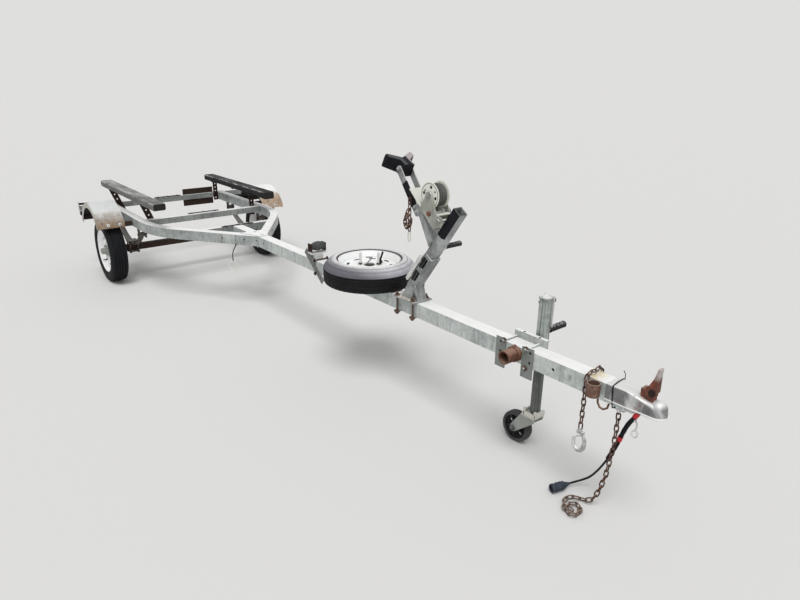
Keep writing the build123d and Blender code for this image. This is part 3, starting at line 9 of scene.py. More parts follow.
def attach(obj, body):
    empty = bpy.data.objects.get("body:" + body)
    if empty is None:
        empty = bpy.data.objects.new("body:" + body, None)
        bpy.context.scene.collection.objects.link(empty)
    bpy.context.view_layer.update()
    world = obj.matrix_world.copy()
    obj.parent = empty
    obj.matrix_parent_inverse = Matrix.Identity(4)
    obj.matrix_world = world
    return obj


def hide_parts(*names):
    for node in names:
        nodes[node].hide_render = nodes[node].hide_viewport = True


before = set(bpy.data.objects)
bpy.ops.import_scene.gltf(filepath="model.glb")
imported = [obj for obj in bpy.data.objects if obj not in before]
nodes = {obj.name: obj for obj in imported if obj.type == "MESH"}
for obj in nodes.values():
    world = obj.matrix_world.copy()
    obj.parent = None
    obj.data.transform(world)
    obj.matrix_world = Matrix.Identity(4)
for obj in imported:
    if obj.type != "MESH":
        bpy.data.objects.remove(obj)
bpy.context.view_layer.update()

scene = bpy.context.scene
scene.view_settings.view_transform = "Standard"
X = Vector((1, 0, 0))
Y = Vector((0, 1, 0))
Z = Vector((0, 0, 1))
SIDES = (-1, 1)
HANDS = {"right": -1, "left": 1}

# Driving values in metres, the same as the CAD source's.
NOSE_X = 2.560
REAR_X = -2.560
FRAME_TOP = 0.558
FRAME_BOTTOM = 0.482
TONGUE_HALF = 0.038
RAIL_HALF = 0.558
RAIL_MID_Y = 0.526
RAIL_SPLAY = math.radians(35)
JUNCTION_X = REAR_X + 2.020
RAIL_REAR = REAR_X + 0.095
CROSS_FRONT_X = REAR_X + 1.585
CROSS_MIDDLE_X = REAR_X + 0.995
AXLE_X = REAR_X + 0.625
WHEEL_R = 0.2605
BEAD_R = 0.165
TRACK_HALF = RAIL_HALF + 0.145
FENDER_X = AXLE_X - 0.043
FENDER_Z = 0.393
FENDER_R = 0.272
FENDER_OUTER_Y = TRACK_HALF + 0.121
FENDER_INNER_Y = TRACK_HALF - 0.086
FENDER_FRONT, FENDER_BACK = 20.65, 160.7
LAMP_Y = RAIL_HALF + 0.172
LAMP_Z = FRAME_TOP - 0.039
SPARE_X = NOSE_X - 1.787
SPARE_Z = FRAME_TOP + 0.006 + 0.0655
ROLLER = Vector((NOSE_X - 2.344, 0, 0.641))
BASE_REAR = NOSE_X - 1.492
BASE_FRONT = NOSE_X - 1.327
STAND_FOOT = Vector((NOSE_X - 1.412, 0, 0.620))
STAND_LEAN = math.radians(36)
STAND_UP = Vector((math.sin(STAND_LEAN), 0, math.cos(STAND_LEAN)))
STAND_AHEAD = Vector((math.cos(STAND_LEAN), 0, -math.sin(STAND_LEAN)))
BAR_FOOT = Vector((NOSE_X - 1.345, 0, 1.025))
STOP_PIVOT = Vector((NOSE_X - 1.488, 0, 1.218))
DRUM = Vector((NOSE_X - 1.258, 0, 1.122))
PINION = Vector((NOSE_X - 1.246164, 0, 1.038838))
CRANK_BACK = math.radians(5)
CRANK_REACH = 0.184
JACK_X = NOSE_X - 0.643
JACK_Y = 0.101
JACK = Vector((JACK_X, JACK_Y, 0))
CASTER = Vector((JACK_X - 0.094, JACK_Y, 0.0775))

# Camera at the photograph's place and angle.
YAW, PITCH, ROLL = (math.radians(angle) for angle in (50.46, 20.03, 0.68))
CAMERA_PLACE = (3.398, -1.940, 1.628)
FOCAL_PIXELS = 601.08
PHOTO_WIDTH = 800
SENSOR = 36
look = Vector((-math.sin(YAW) * math.cos(PITCH), math.cos(YAW) * math.cos(PITCH), -math.sin(PITCH)))
level = Vector((math.cos(YAW), math.sin(YAW), 0))
upright = level.cross(look)
right = math.cos(ROLL) * level + math.sin(ROLL) * upright
up = -math.sin(ROLL) * level + math.cos(ROLL) * upright
camera_data = bpy.data.cameras.new("camera")
camera_data.sensor_width = SENSOR
camera_data.lens = SENSOR * FOCAL_PIXELS / PHOTO_WIDTH
camera_data.clip_end = 200
camera = bpy.data.objects.new("camera", camera_data)
scene.collection.objects.link(camera)
axes = Matrix((right, up, -look)).transposed()
camera.matrix_world = Matrix.Translation(CAMERA_PLACE) @ axes.to_4x4()
scene.camera = camera

# Light cable: one smooth line through the route's points.
CABLE_R = 0.0045
CABLE_POINTS = (
    (NOSE_X - 0.100, 0.002, 0.494), (NOSE_X - 0.115, 0.004, 0.458), (NOSE_X - 0.146, 0.008, 0.405),
    (NOSE_X - 0.163, 0.008, 0.350), (NOSE_X - 0.178, 0.009, 0.295), (NOSE_X - 0.198, 0.014, 0.240),
    (NOSE_X - 0.222, 0.024, 0.186), (NOSE_X - 0.254, 0.036, 0.124), (NOSE_X - 0.288, 0.044, 0.068),
    (NOSE_X - 0.316, 0.038, 0.040), (NOSE_X - 0.340, 0.012, 0.026), (NOSE_X - 0.350, -0.018, 0.025),
)
cable_curve = bpy.data.curves.new("light_cable", "CURVE")
cable_curve.dimensions = "3D"
spline = cable_curve.splines.new("NURBS")
spline.points.add(len(CABLE_POINTS) - 1)
for point, place in zip(spline.points, CABLE_POINTS):
    point.co = (*place, 1)
spline.order_u = 3
spline.use_endpoint_u = True
spline.resolution_u = 12
probe = bpy.data.objects.new("cable_line", cable_curve)
cable_line = [vertex.co.copy() for vertex in bpy.data.meshes.new_from_object(probe).vertices]
bpy.data.objects.remove(probe)
cable_curve.bevel_depth = CABLE_R
cable_curve.bevel_resolution = 4
cable_curve.use_fill_caps = True
cable = bpy.data.objects.new("light_cable", cable_curve)
scene.collection.objects.link(cable)


class Paint:
    """One procedural material, with short calls for its nodes."""

    def __init__(self, name, **values):
        self.material = bpy.data.materials.new(name)
        self.material.use_nodes = True
        self.tree = self.material.node_tree
        self.shader = self.tree.nodes["Principled BSDF"]
        for socket, value in values.items():
            self.feed(self.shader.inputs[socket.replace("_", " ")], value)
        self.coords = self.tree.nodes.new("ShaderNodeTexCoord")

    def feed(self, socket, value):
        """Link an output to a socket, or set the socket to a number, a scale or a colour."""
        if isinstance(value, bpy.types.NodeSocket):
            self.tree.links.new(value, socket)
        else:
            socket.default_value = (*value, 1) if socket.type == "RGBA" else value

    def node(self, kind, output, inputs, **settings):
        """Add a node with its settings and inputs, and give one of its outputs."""
        node = self.tree.nodes.new("ShaderNode" + kind)
        for setting, value in settings.items():
            setattr(node, setting, value)
        for socket, value in inputs.items():
            self.feed(node.inputs[socket], value)
        return node.outputs[output]

    def noise(self, scale, detail=4, roughness=0.55, stretch=(1, 1, 1), distortion=0):
        place = self.node("Mapping", "Vector", {"Vector": self.coords.outputs["Object"], "Scale": stretch})
        return self.node("TexNoise", "Fac", {
            "Vector": place, "Scale": scale, "Detail": detail, "Roughness": roughness,
            "Distortion": distortion,
        })

    def ramp(self, source, *stops):
        node = self.tree.nodes.new("ShaderNodeValToRGB")
        elements = node.color_ramp.elements
        while len(elements) < len(stops):
            elements.new(0.5)
        for element, (position, colour) in zip(elements, stops):
            element.position = position
            element.color = (colour, colour, colour, 1) if isinstance(colour, (int, float)) else (*colour, 1)
        self.feed(node.inputs["Fac"], source)
        return node.outputs["Color"]

    def mix(self, share, first, second):
        return self.node("Mix", 2, {0: share, 6: first, 7: second}, data_type="RGBA")

    def math(self, kind, first, second=0.5):
        return self.node("Math", 0, {0: first, 1: second}, operation=kind)

    def both(self, *masks):
        product = masks[0]
        for mask in masks[1:]:
            product = self.math("MULTIPLY", product, mask)
        return product

    def axis(self, part, source="Object"):
        return self.node("SeparateXYZ", part, {0: self.coords.outputs[source]})

    def span(self, value, start, end):
        """Zero at start, one at end, and held outside."""
        return self.node("MapRange", "Result", {"Value": value, "From Min": start, "From Max": end})

    def facing(self, part, start, end):
        """Zero to one as the surface turns from start to end along one axis."""
        return self.span(self.axis(part, "Normal"), start, end)

    def within(self, part, low, high, soft=0.01):
        """One where a coordinate lies from low to high, fading over soft."""
        value = self.axis(part)
        return self.both(self.span(value, low - soft, low + soft), self.span(value, high + soft, high - soft))

    def patches(self, low, high, *texture):
        """Zero where the noise is below low, and one where it is above high."""
        return self.span(self.noise(*texture), low, high)

    def distance(self, **centre):
        """How far a point is from a centre, along the axes that are named."""
        parts = {part: self.math("SUBTRACT", self.axis(part), middle) for part, middle in centre.items()}
        return self.node("VectorMath", "Value", {0: self.node("CombineXYZ", 0, parts)}, operation="LENGTH")

    def finish(self, base, extra, cloud, roughness, grain, strength, distance=0.0008):
        """Lay the extra over the base, and give the shader its colour, roughness and bump."""
        smooth, rough = roughness
        inputs = self.shader.inputs
        self.feed(inputs["Base Color"], extra(self, base) if extra else base)
        self.feed(inputs["Roughness"], self.ramp(cloud, (0.3, smooth), (0.7, rough)))
        height = self.noise(*grain)
        bump = self.node("Bump", "Normal", {"Height": height, "Strength": strength, "Distance": distance})
        self.feed(inputs["Normal"], bump)


def shade(colour, factor):
    return tuple(channel * factor for channel in colour)


BROWN = (0.14, 0.065, 0.03)


def galvanised(name, light, dark, top, rust=0.0, metallic=0.12, extra=None):
    """Weathered zinc: mottled spangle, dark runs down the sides, a painted highlight on upward faces, and a
    little rust.
    """
    paint = Paint(name, Metallic=metallic)
    cloud = paint.noise(6, 7, 0.62)
    base = paint.mix(paint.span(cloud, 0.36, 0.66), dark, light)
    runs = paint.patches(0.52, 0.7, 34, 5, 0.65, (1, 1, 0.1))
    base = paint.mix(paint.both(runs, 0.7), base, shade(dark, 0.5))
    base = paint.mix(paint.both(paint.patches(0.48, 0.75, 48, 6, 0.7), 0.45), base, shade(light, 1.3))
    # Painted highlight: upward faces take the top colour, for sky light on them.
    painted_top_light = paint.mix(paint.patches(0.3, 0.6, 26, 6, 0.7, (0.35, 1, 1)), shade(top, 0.9), top)
    base = paint.mix(paint.facing("Z", 0.3, 0.8), base, painted_top_light)
    if rust:
        base = paint.mix(paint.patches(0.7 - rust, 0.8 - rust, 15, 8, 0.72), base, BROWN)
    paint.finish(base, extra, cloud, (0.4, 0.62), (170, 4), 0.2)


def rusted(name, brown, bright, grey, top=None, extra=None):
    """Old steel under rust: brown scale, orange blooms, a little bare grey, and a painted highlight on upward
    faces where a top colour is given.
    """
    paint = Paint(name, Specular_IOR_Level=0.2)
    bloom = paint.noise(60, 5, 0.6)
    base = paint.mix(paint.patches(0.35, 0.65, 22, 8, 0.7), grey, brown)
    base = paint.mix(paint.both(paint.span(bloom, 0.5, 0.7), 0.85), base, bright)
    # Painted highlight: upward faces are made lighter with the top colour.
    if top:
        base = paint.mix(paint.both(paint.facing("Z", 0.4, 0.9), 0.6), base, top)
    paint.finish(base, extra, bloom, (0.7, 0.95), (240, 5), 0.5, 0.0012)


def moulded(name, colour, dusty, roughness=0.6, strength=0.2, grain=200, extra=None):
    """Rubber or plastic with dust in its grain."""
    paint = Paint(name, Specular_IOR_Level=0.14)
    cloud = paint.noise(12, 6, 0.65)
    base = paint.mix(paint.span(cloud, 0.35, 0.7), colour, dusty)
    paint.finish(base, extra, cloud, (roughness - 0.1, min(roughness + 0.15, 1.0)), (grain, 4), strength)


def painted(name, colour, dirt, chips=0.0, roughness=0.4, extra=None):
    """Paint or plating with dirt in its clouds and rust where it is chipped."""
    paint = Paint(name)
    cloud = paint.noise(10, 6, 0.65)
    base = paint.mix(paint.both(paint.span(cloud, 0.45, 0.75), 0.8), colour, dirt)
    if chips:
        base = paint.mix(paint.patches(0.7 - chips, 0.76 - chips, 45, 8, 0.75), base, BROWN)
    paint.finish(base, extra, cloud, (roughness, roughness + 0.25), (150, 4), 0.15)


def tongue_stain(paint, base):
    """Dark runs down the sides, a smudge, and a yellow stain on top, by the short chain."""
    runs = paint.both(paint.patches(0.60, 0.72, 70, 3, 0.5, (1, 1, 0.06)), paint.facing("Z", 0.5, 0.1), 0.55)
    base = paint.mix(runs, base, (0.16, 0.18, 0.17))
    smudge = paint.both(
        paint.within("X", NOSE_X - 0.402, NOSE_X - 0.384, 0.006), paint.within("Z", 0.506, 0.530, 0.006),
        paint.patches(0.35, 0.55, 60, 4, 0.6), 0.7,
    )
    base = paint.mix(smudge, base, (0.14, 0.14, 0.13))
    yellow = paint.both(
        paint.within("X", NOSE_X - 0.32, NOSE_X - 0.262, 0.016), paint.facing("Z", 0.5, 0.9),
        paint.patches(0.36, 0.60, 36, 5, 0.6), 0.8,
    )
    return paint.mix(yellow, base, (0.80, 0.66, 0.33))


def shaded_straps(paint, base):
    """The near strap plates, grey-green and darker than the mount beyond."""
    near = paint.both(paint.within("Y", -0.2, -0.036, 0.002), paint.facing("Z", 0.6, 0.3))
    tone = paint.mix(paint.noise(26, 5, 0.6, (1, 1, 0.3)), (0.13, 0.14, 0.13), (0.30, 0.32, 0.30))
    return paint.mix(near, base, tone)


def rusty_rods(paint, base):
    """The clamp rods across the tongue, brown against the strip."""
    return paint.mix(paint.within("Y", -0.036, 0.2, 0.001), base, (0.05, 0.03, 0.022))


def pressed_steel_reflections(paint, base):
    """Painted reflections: dark and bright patches on the sides for what bent bright steel mirrors round it,
    then a pale band at the foot and red patches.
    """
    # Painted reflection: patches from near black to pale on the faces that do not point up.
    painted_reflection = paint.patches(0.45, 0.62, 16, 3, 0.5, (0.8, 1, 0.6), 0.8)
    painted_reflection = paint.mix(painted_reflection, (0.12, 0.124, 0.124), (0.84, 0.85, 0.84))
    base = paint.mix(paint.both(paint.facing("Z", 0.8, 0.3), 0.75), base, painted_reflection)
    base = paint.mix(paint.within("Z", 0.2, 0.5015, 0.0008), base, (0.92, 0.92, 0.90))
    red = paint.both(
        paint.patches(0.60, 0.68, 42, 4, 0.6), paint.within("X", NOSE_X - 0.19, NOSE_X - 0.09, 0.02),
        paint.facing("Z", 0.5, 0.2), 0.7,
    )
    return paint.mix(red, base, (0.42, 0.03, 0.03))


def worn_tip(paint, base):
    """The lever's tip, worn to a pale grey."""
    tip = paint.both(paint.within("Z", 0.640, 0.9, 0.012), paint.patches(0.3, 0.5, 40, 5, 0.6))
    return paint.mix(tip, base, (0.48, 0.43, 0.40))


def pale_foot(paint, base):
    """The yoke's lower part, bare zinc like the tongue below it."""
    tone = paint.mix(paint.noise(24, 5, 0.6), (0.50, 0.52, 0.50), (0.80, 0.80, 0.79))
    return paint.mix(paint.within("Z", 0.4, ROLLER.z - 0.032, 0.004), base, tone)


def rust_and_underside_shade(start, deep, pale):
    """Rust spreading up from a fender's front lower end, and painted shade, near black, on its downward faces
    inside.
    """
    def extra(paint, base):
        reach = paint.math("ADD", paint.axis("X"), paint.math("MULTIPLY", paint.noise(12, 7, 0.7), 0.20))
        tone = paint.mix(paint.patches(0.35, 0.65, 34, 6, 0.65), deep, pale)
        base = paint.mix(paint.span(reach, FENDER_X + start, FENDER_X + start + 0.09), base, tone)
        # Painted shade: faces that turn downward, under the fender, are made near black.
        return paint.mix(paint.facing("Z", -0.08, -0.22), base, (0.014, 0.013, 0.012))
    return extra


def grey_wall_and_painted_shade(paint, base):
    """A tyre's upper wall, pale grey with darker rings where its slopes face up and away, and painted shade
    where they face the near side.
    """
    rings = paint.ramp(
        paint.span(paint.distance(X=SPARE_X, Y=0), 0.175, 0.262),
        (0.0, (0.045, 0.038, 0.035)), (0.12, (0.10, 0.085, 0.08)), (0.16, (0.82, 0.82, 0.83)),
        (0.40, (0.84, 0.84, 0.85)), (0.47, (0.34, 0.34, 0.36)), (0.54, (0.80, 0.80, 0.82)),
        (0.66, (0.62, 0.62, 0.66)), (0.72, (0.34, 0.34, 0.38)), (0.78, (0.60, 0.60, 0.64)),
        (0.92, (0.42, 0.42, 0.47)),
    )
    worn = paint.mix(paint.both(paint.patches(0.4, 0.7, 30, 6, 0.6), 0.35), rings, (0.30, 0.29, 0.29))
    # Painted shade: slopes of the wall that face the near side are made near black; from here worn holds this
    # shade as well as the wear.
    worn = paint.mix(paint.both(paint.facing("Y", 0.0, -0.6), 0.84), worn, (0.075, 0.075, 0.088))
    upper = paint.both(paint.within("Z", SPARE_Z + 0.0165, 1.0, 0.0015), paint.facing("Z", -0.3, -0.1))
    return paint.mix(upper, base, worn)


def worn_lobe_and_highlight(paint, base):
    """The bow stop's far inner face, pale from wear and from painted sky light, and a painted grey highlight
    on the near lobe's top edge.
    """
    # The far face's pale tone is part wear and part painted sky light.
    far = paint.both(paint.within("Y", 0.02, 0.2, 0.004), paint.facing("Z", 0.15, 0.35))
    tone = paint.mix(paint.noise(50, 6, 0.7), (0.30, 0.27, 0.27), (0.52, 0.47, 0.48))
    # Painted highlight: the near lobe's upward top edge is made grey.
    near = paint.both(paint.within("Y", -0.2, -0.01, 0.004), paint.facing("Z", 0.6, 0.85), 0.55)
    return paint.mix(near, paint.mix(far, base, tone), (0.13, 0.145, 0.135))


def grip_top(paint, base):
    """Light on the grip's top, broken by its grain."""
    shine = paint.both(paint.facing("Z", 0.35, 0.8), paint.patches(0.42, 0.60, 70, 4, 0.6))
    return paint.mix(shine, base, (0.24, 0.24, 0.245))


def tall_runs(paint, base):
    """Dark upright streaks along the jack's flutes."""
    runs = paint.both(paint.patches(0.54, 0.64, 85, 3, 0.5, (1, 1, 0.03)), paint.facing("Z", 0.5, 0.1), 0.75)
    return paint.mix(runs, base, (0.055, 0.062, 0.058))


def pale_runs_and_top_light(paint, base):
    """Pale patches, streaked upright, on the winch frame's dull faces, and a painted highlight that makes its
    upward faces paler.
    """
    pale = paint.both(paint.patches(0.52, 0.66, 30, 5, 0.6, (1, 1, 0.4)), 0.7)
    base = paint.mix(pale, base, (0.50, 0.51, 0.45))
    # Painted highlight: upward faces are made pale.
    return paint.mix(paint.facing("Z", 0.25, 0.7), base, (0.72, 0.73, 0.66))


def rusty_clamps(paint, base):
    """Brown clamp rods, and a dirty top on the stand's base plate."""
    out = paint.math("ABSOLUTE", paint.axis("Y"))
    below = paint.both(paint.span(out, 0.0385, 0.0395), paint.within("Z", 0.40, FRAME_TOP - 0.0005, 0.0004))
    beside = paint.span(out, 0.0395, 0.0405)
    above = paint.both(paint.within("Z", FRAME_TOP + 0.0086, FRAME_TOP + 0.034, 0.0004), beside, beside)
    tone = paint.mix(paint.noise(60, 5, 0.6), (0.055, 0.034, 0.024), (0.16, 0.10, 0.07))
    base = paint.mix(above, paint.mix(below, base, tone), tone)
    plate = paint.within("Z", FRAME_TOP + 0.0066, FRAME_TOP + 0.0082, 0.0004)
    dirt = paint.mix(paint.patches(0.36, 0.64, 34, 6, 0.65), (0.30, 0.22, 0.16), (0.72, 0.70, 0.65))
    return paint.mix(paint.both(plate, paint.facing("Z", 0.6, 0.9)), base, dirt)


def fork_tone(paint, base):
    """Grey plating below the fork's cream head."""
    tone = paint.mix(paint.noise(30, 5, 0.6, (1, 1, 0.4)), (0.17, 0.18, 0.165), (0.44, 0.46, 0.42))
    return paint.mix(paint.within("Z", 0, 0.172, 0.006), base, tone)


def wheel_tone(paint, base):
    """A darker web inside the tread of the jack's wheel."""
    tone = paint.mix(paint.noise(40, 5, 0.6), (0.012, 0.012, 0.013), (0.035, 0.035, 0.038))
    return paint.mix(paint.span(paint.distance(X=CASTER.x, Z=CASTER.z), 0.063, 0.058), base, tone)


def carpet_wear(light, dark, middle):
    """Worn tufts on top, pale worn edges and a dark folded end."""
    def extra(paint, base):
        tufts = paint.both(paint.patches(0.42, 0.66, 9, 7, 0.68, (0.35, 1, 1)), paint.facing("Z", 0.2, 0.9))
        base = paint.mix(tufts, paint.mix(0.5, base, dark), light)
        across = paint.math("ABSOLUTE", paint.math("SUBTRACT", paint.axis("Y"), middle))
        rubbed = paint.patches(0.44, 0.58, 40, 7, 0.7, (0.3, 1, 1))
        edge = paint.both(paint.span(across, 0.036, 0.044), paint.facing("Z", 0.15, 0.5), rubbed, 0.8)
        base = paint.mix(edge, base, (0.50, 0.49, 0.47))
        return paint.mix(paint.facing("X", 0.45, 0.85), base, (0.030, 0.028, 0.026))
    return extra


near_rust_and_shade = rust_and_underside_shade(0.262, (0.13, 0.072, 0.040), (0.36, 0.26, 0.175))
far_rust_and_shade = rust_and_underside_shade(0.215, (0.30, 0.20, 0.13), (0.55, 0.43, 0.33))
near_wear = carpet_wear((0.50, 0.50, 0.48), (0.16, 0.16, 0.155), -0.515)
far_wear = carpet_wear((0.14, 0.14, 0.14), (0.035, 0.035, 0.036), 0.462)
OLD_RUST = ((0.040, 0.023, 0.016), (0.075, 0.036, 0.022), (0.022, 0.020, 0.018))
# The third colour of each galvanised finish is the painted highlight of its upward faces.
galvanised("zinc_frame", (0.50, 0.535, 0.52), (0.26, 0.28, 0.275), (0.93, 0.93, 0.92))
galvanised("zinc_cross", (0.33, 0.35, 0.34), (0.18, 0.19, 0.185), (0.88, 0.88, 0.86))
galvanised("zinc_tongue", (0.63, 0.675, 0.655), (0.38, 0.41, 0.40), (0.96, 0.96, 0.95), extra=tongue_stain)
galvanised("zinc_dark", (0.27, 0.285, 0.27), (0.13, 0.135, 0.13), (0.46, 0.46, 0.44), 0.06)
galvanised("zinc_mount", (0.58, 0.61, 0.595), (0.34, 0.36, 0.35), (0.92, 0.93, 0.92), extra=shaded_straps)
galvanised("zinc_stay", (0.20, 0.215, 0.20), (0.10, 0.105, 0.10), (0.34, 0.35, 0.33), 0.06, extra=rusty_rods)
galvanised(
    "zinc_stand", (0.42, 0.445, 0.438), (0.15, 0.158, 0.156), (0.74, 0.75, 0.74), 0.01, extra=rusty_clamps,
)
galvanised("zinc_bright", (0.78, 0.79, 0.79), (0.34, 0.35, 0.35), (0.92, 0.92, 0.91), 0, 0.55)
galvanised("zinc_white", (0.84, 0.84, 0.82), (0.64, 0.64, 0.62), (0.92, 0.92, 0.91), 0, 0.15)
galvanised(
    "coupler_zinc", (0.66, 0.67, 0.66), (0.16, 0.165, 0.165), (0.80, 0.80, 0.79), 0, 0.4, pressed_steel_reflections,
)
galvanised("fender_near", (0.56, 0.55, 0.50), (0.36, 0.34, 0.29), (0.70, 0.72, 0.715), extra=near_rust_and_shade)
galvanised("fender_far", (0.56, 0.56, 0.53), (0.30, 0.29, 0.26), (0.93, 0.93, 0.92), extra=far_rust_and_shade)
rusted("rust_dark", *OLD_RUST)
# The fourth colour of these rusted finishes is the painted highlight of their upward faces.
rusted("rust_spring", (0.060, 0.045, 0.036), (0.24, 0.22, 0.20), (0.13, 0.12, 0.11), (0.42, 0.41, 0.39))
rusted("rust_chain", (0.10, 0.045, 0.028), (0.24, 0.115, 0.075), (0.07, 0.055, 0.045), (0.36, 0.28, 0.23))
rusted("rust_bright", (0.155, 0.066, 0.040), (0.30, 0.14, 0.085), (0.10, 0.055, 0.04), (0.40, 0.26, 0.20))
rusted("rust_pink", (0.17, 0.095, 0.07), (0.32, 0.20, 0.165), (0.12, 0.07, 0.05), (0.48, 0.38, 0.32))
rusted("rust_red", (0.18, 0.05, 0.032), (0.32, 0.11, 0.07), (0.11, 0.06, 0.045), (0.38, 0.27, 0.22), worn_tip)
rusted("rust_yoke", *OLD_RUST, extra=pale_foot)
moulded("rubber_tyre", (0.007, 0.008, 0.010), (0.020, 0.020, 0.022), 0.72, 0.3, 260)
moulded("rubber_spare", (0.007, 0.007, 0.008), (0.020, 0.020, 0.022), 0.65, 0.3, 260, grey_wall_and_painted_shade)
moulded("rubber_black", (0.008, 0.008, 0.009), (0.022, 0.021, 0.021), 0.5)
moulded("rubber_stop", (0.006, 0.006, 0.009), (0.014, 0.014, 0.018), 0.55, 0.25, 200, worn_lobe_and_highlight)
moulded("rubber_grey", (0.045, 0.047, 0.049), (0.12, 0.122, 0.12), 0.7, 0.35, 160)
moulded("grip_black", (0.010, 0.010, 0.011), (0.025, 0.025, 0.025), 0.5, 0.3, 160, grip_top)
moulded("wheel_plastic", (0.040, 0.040, 0.043), (0.105, 0.105, 0.108), 0.6, 0.3, 160, wheel_tone)
moulded("plug_plastic", (0.022, 0.030, 0.042), (0.07, 0.085, 0.11), 0.5)
moulded("loom_black", (0.035, 0.037, 0.037), (0.085, 0.086, 0.085), 0.8)
moulded("tape_black", (0.004, 0.004, 0.007), (0.014, 0.014, 0.019), 0.6, 0.5, 90)
moulded("tape_red", (0.50, 0.012, 0.025), (0.72, 0.07, 0.085), 0.5)
moulded("carpet_near", (0.15, 0.155, 0.145), (0.25, 0.255, 0.24), 0.95, 0.8, 480, near_wear)
moulded("carpet_far", (0.016, 0.017, 0.018), (0.045, 0.045, 0.046), 0.95, 0.8, 480, far_wear)
moulded("strap_grey", (0.06, 0.062, 0.057), (0.19, 0.19, 0.178), 0.9, 0.6, 380)
painted("rim_white", (0.92, 0.93, 0.93), (0.83, 0.82, 0.785), 0.01)
painted("hub_grey", (0.30, 0.32, 0.29), (0.15, 0.15, 0.13), 0.05)
painted("cream_plating", (0.80, 0.81, 0.725), (0.54, 0.54, 0.46), 0.02, 0.35)
# The winch frame's finish is the cream plating painted darker: painted shade on the frame.
painted("cream_frame_shaded", (0.33, 0.34, 0.295), (0.15, 0.15, 0.125), 0.03, 0.35, pale_runs_and_top_light)
painted("cream_fork", (0.72, 0.72, 0.66), (0.50, 0.49, 0.43), 0.02, 0.4, fork_tone)
painted("lamp_red", (0.20, 0.010, 0.010), (0.10, 0.02, 0.015), 0, 0.25)
galvanised("jack_steel", (0.50, 0.54, 0.505), (0.22, 0.245, 0.23), (0.80, 0.81, 0.78), 0.02, extra=tall_runs)
galvanised("jack_dark", (0.15, 0.162, 0.154), (0.055, 0.06, 0.057), (0.3, 0.3, 0.29), 0.04, extra=tall_runs)

# Finishes of the CAD nodes that stay.
LOOKS = {
    "zinc_frame": "rail_right rail_left",
    "zinc_cross": "crossmember_front crossmember_middle crossmember_rear",
    "zinc_tongue": "tongue_tube junction_gusset",
    "zinc_stay": "roller_stay",
    "zinc_mount": "jack_mount",
    "zinc_stand": "winch_stand_base winch_post winch_plate bow_arm",
    "fender_near": "fender_right",
    "fender_far": "fender_left",
    "rust_dark": "axle_beam bunk_brackets_front bunk_brackets_rear rear_bars fender_bars spare_carrier",
    "rust_yoke": "roller_yoke",
    "rust_spring": "spring_right spring_left",
    "rust_bright": "pipe_stub",
    "rust_pink": "chain_ring",
    "rust_red": "coupler_latch",
    "rubber_stop": "bow_stop",
    "wheel_plastic": "caster_wheel",
    "rim_white": "rim_right rim_left spare_rim",
    "hub_grey": "hub_right hub_left",
    "cream_frame_shaded": "winch_frame",
    "cream_plating": "winch_drum",
    "cream_fork": "caster_fork",
    "rubber_black": "tail_light_right tail_light_left hanging_wire",
    "zinc_white": "winch_crank jack_crank",
}
for look_name, members in LOOKS.items():
    for member in members.split():
        mesh = nodes[member].data
        mesh.materials.clear()
        mesh.materials.append(bpy.data.materials[look_name])


def round_edges(piece, radius, angle):
    """Bevel the edges that are sharper than the angle."""
    rounding = piece.modifiers.new("rounded", "BEVEL")
    rounding.width = radius
    rounding.segments = 2
    rounding.limit_method = "ANGLE"
    rounding.angle_limit = math.radians(angle)


# The radius that the edges of a CAD node are rounded to.
ROUNDED = {
    0.004: "rail_right rail_left crossmember_front crossmember_middle crossmember_rear",
    0.005: "bow_stop",
    0.003: "winch_post",
    0.0015:
        "winch_stand_base bow_arm winch_plate winch_frame jack_mount caster_fork coupler_latch pipe_stub "
        "chain_ring bunk_brackets_front bunk_brackets_rear rear_bars fender_bars roller_yoke axle_beam "
        "junction_gusset caster_wheel",
}
for radius, members in ROUNDED.items():
    for member in members.split():
        nodes[member].modifiers.new("weld", "WELD").merge_threshold = 0.00001
        round_edges(nodes[member], radius, 40)
        nodes[member].modifiers.new("even", "WEIGHTED_NORMAL")


def mm(*points):
    """Points or outlines that are written in millimetres."""
    return [tuple(value / 1000 for value in point) for point in points]


def from_nose(*points):
    """Points in millimetres, x counted from the nose."""
    return [(NOSE_X + x, y, z) for x, y, z in mm(*points)]


def arc(start, end, steps):
    """Cosine and sine of evenly spaced angles from start to end, in degrees."""
    turns = [math.radians(start + (end - start) * step / (steps - 1)) for step in range(steps)]
    return [(math.cos(turn), math.sin(turn)) for turn in turns]


def circle(steps):
    return arc(0, 360, steps + 1)[:-1]


def rectangle(half_width, half_height):
    """Section of a flat bar."""
    corners = ((-1, -1), (1, -1), (1, 1), (-1, 1))
    return [(half_width * across, half_height * up) for across, up in corners]


def stadium(centre, along, across, straight, bend, steps=9):
    """Outline of a slot: two half circles with radius bend, straight to each side of the centre."""
    return [
        centre + along * end * (straight + bend * c) + across * end * bend * s
        for end in (1, -1) for c, s in arc(-90, 90, steps)
    ]


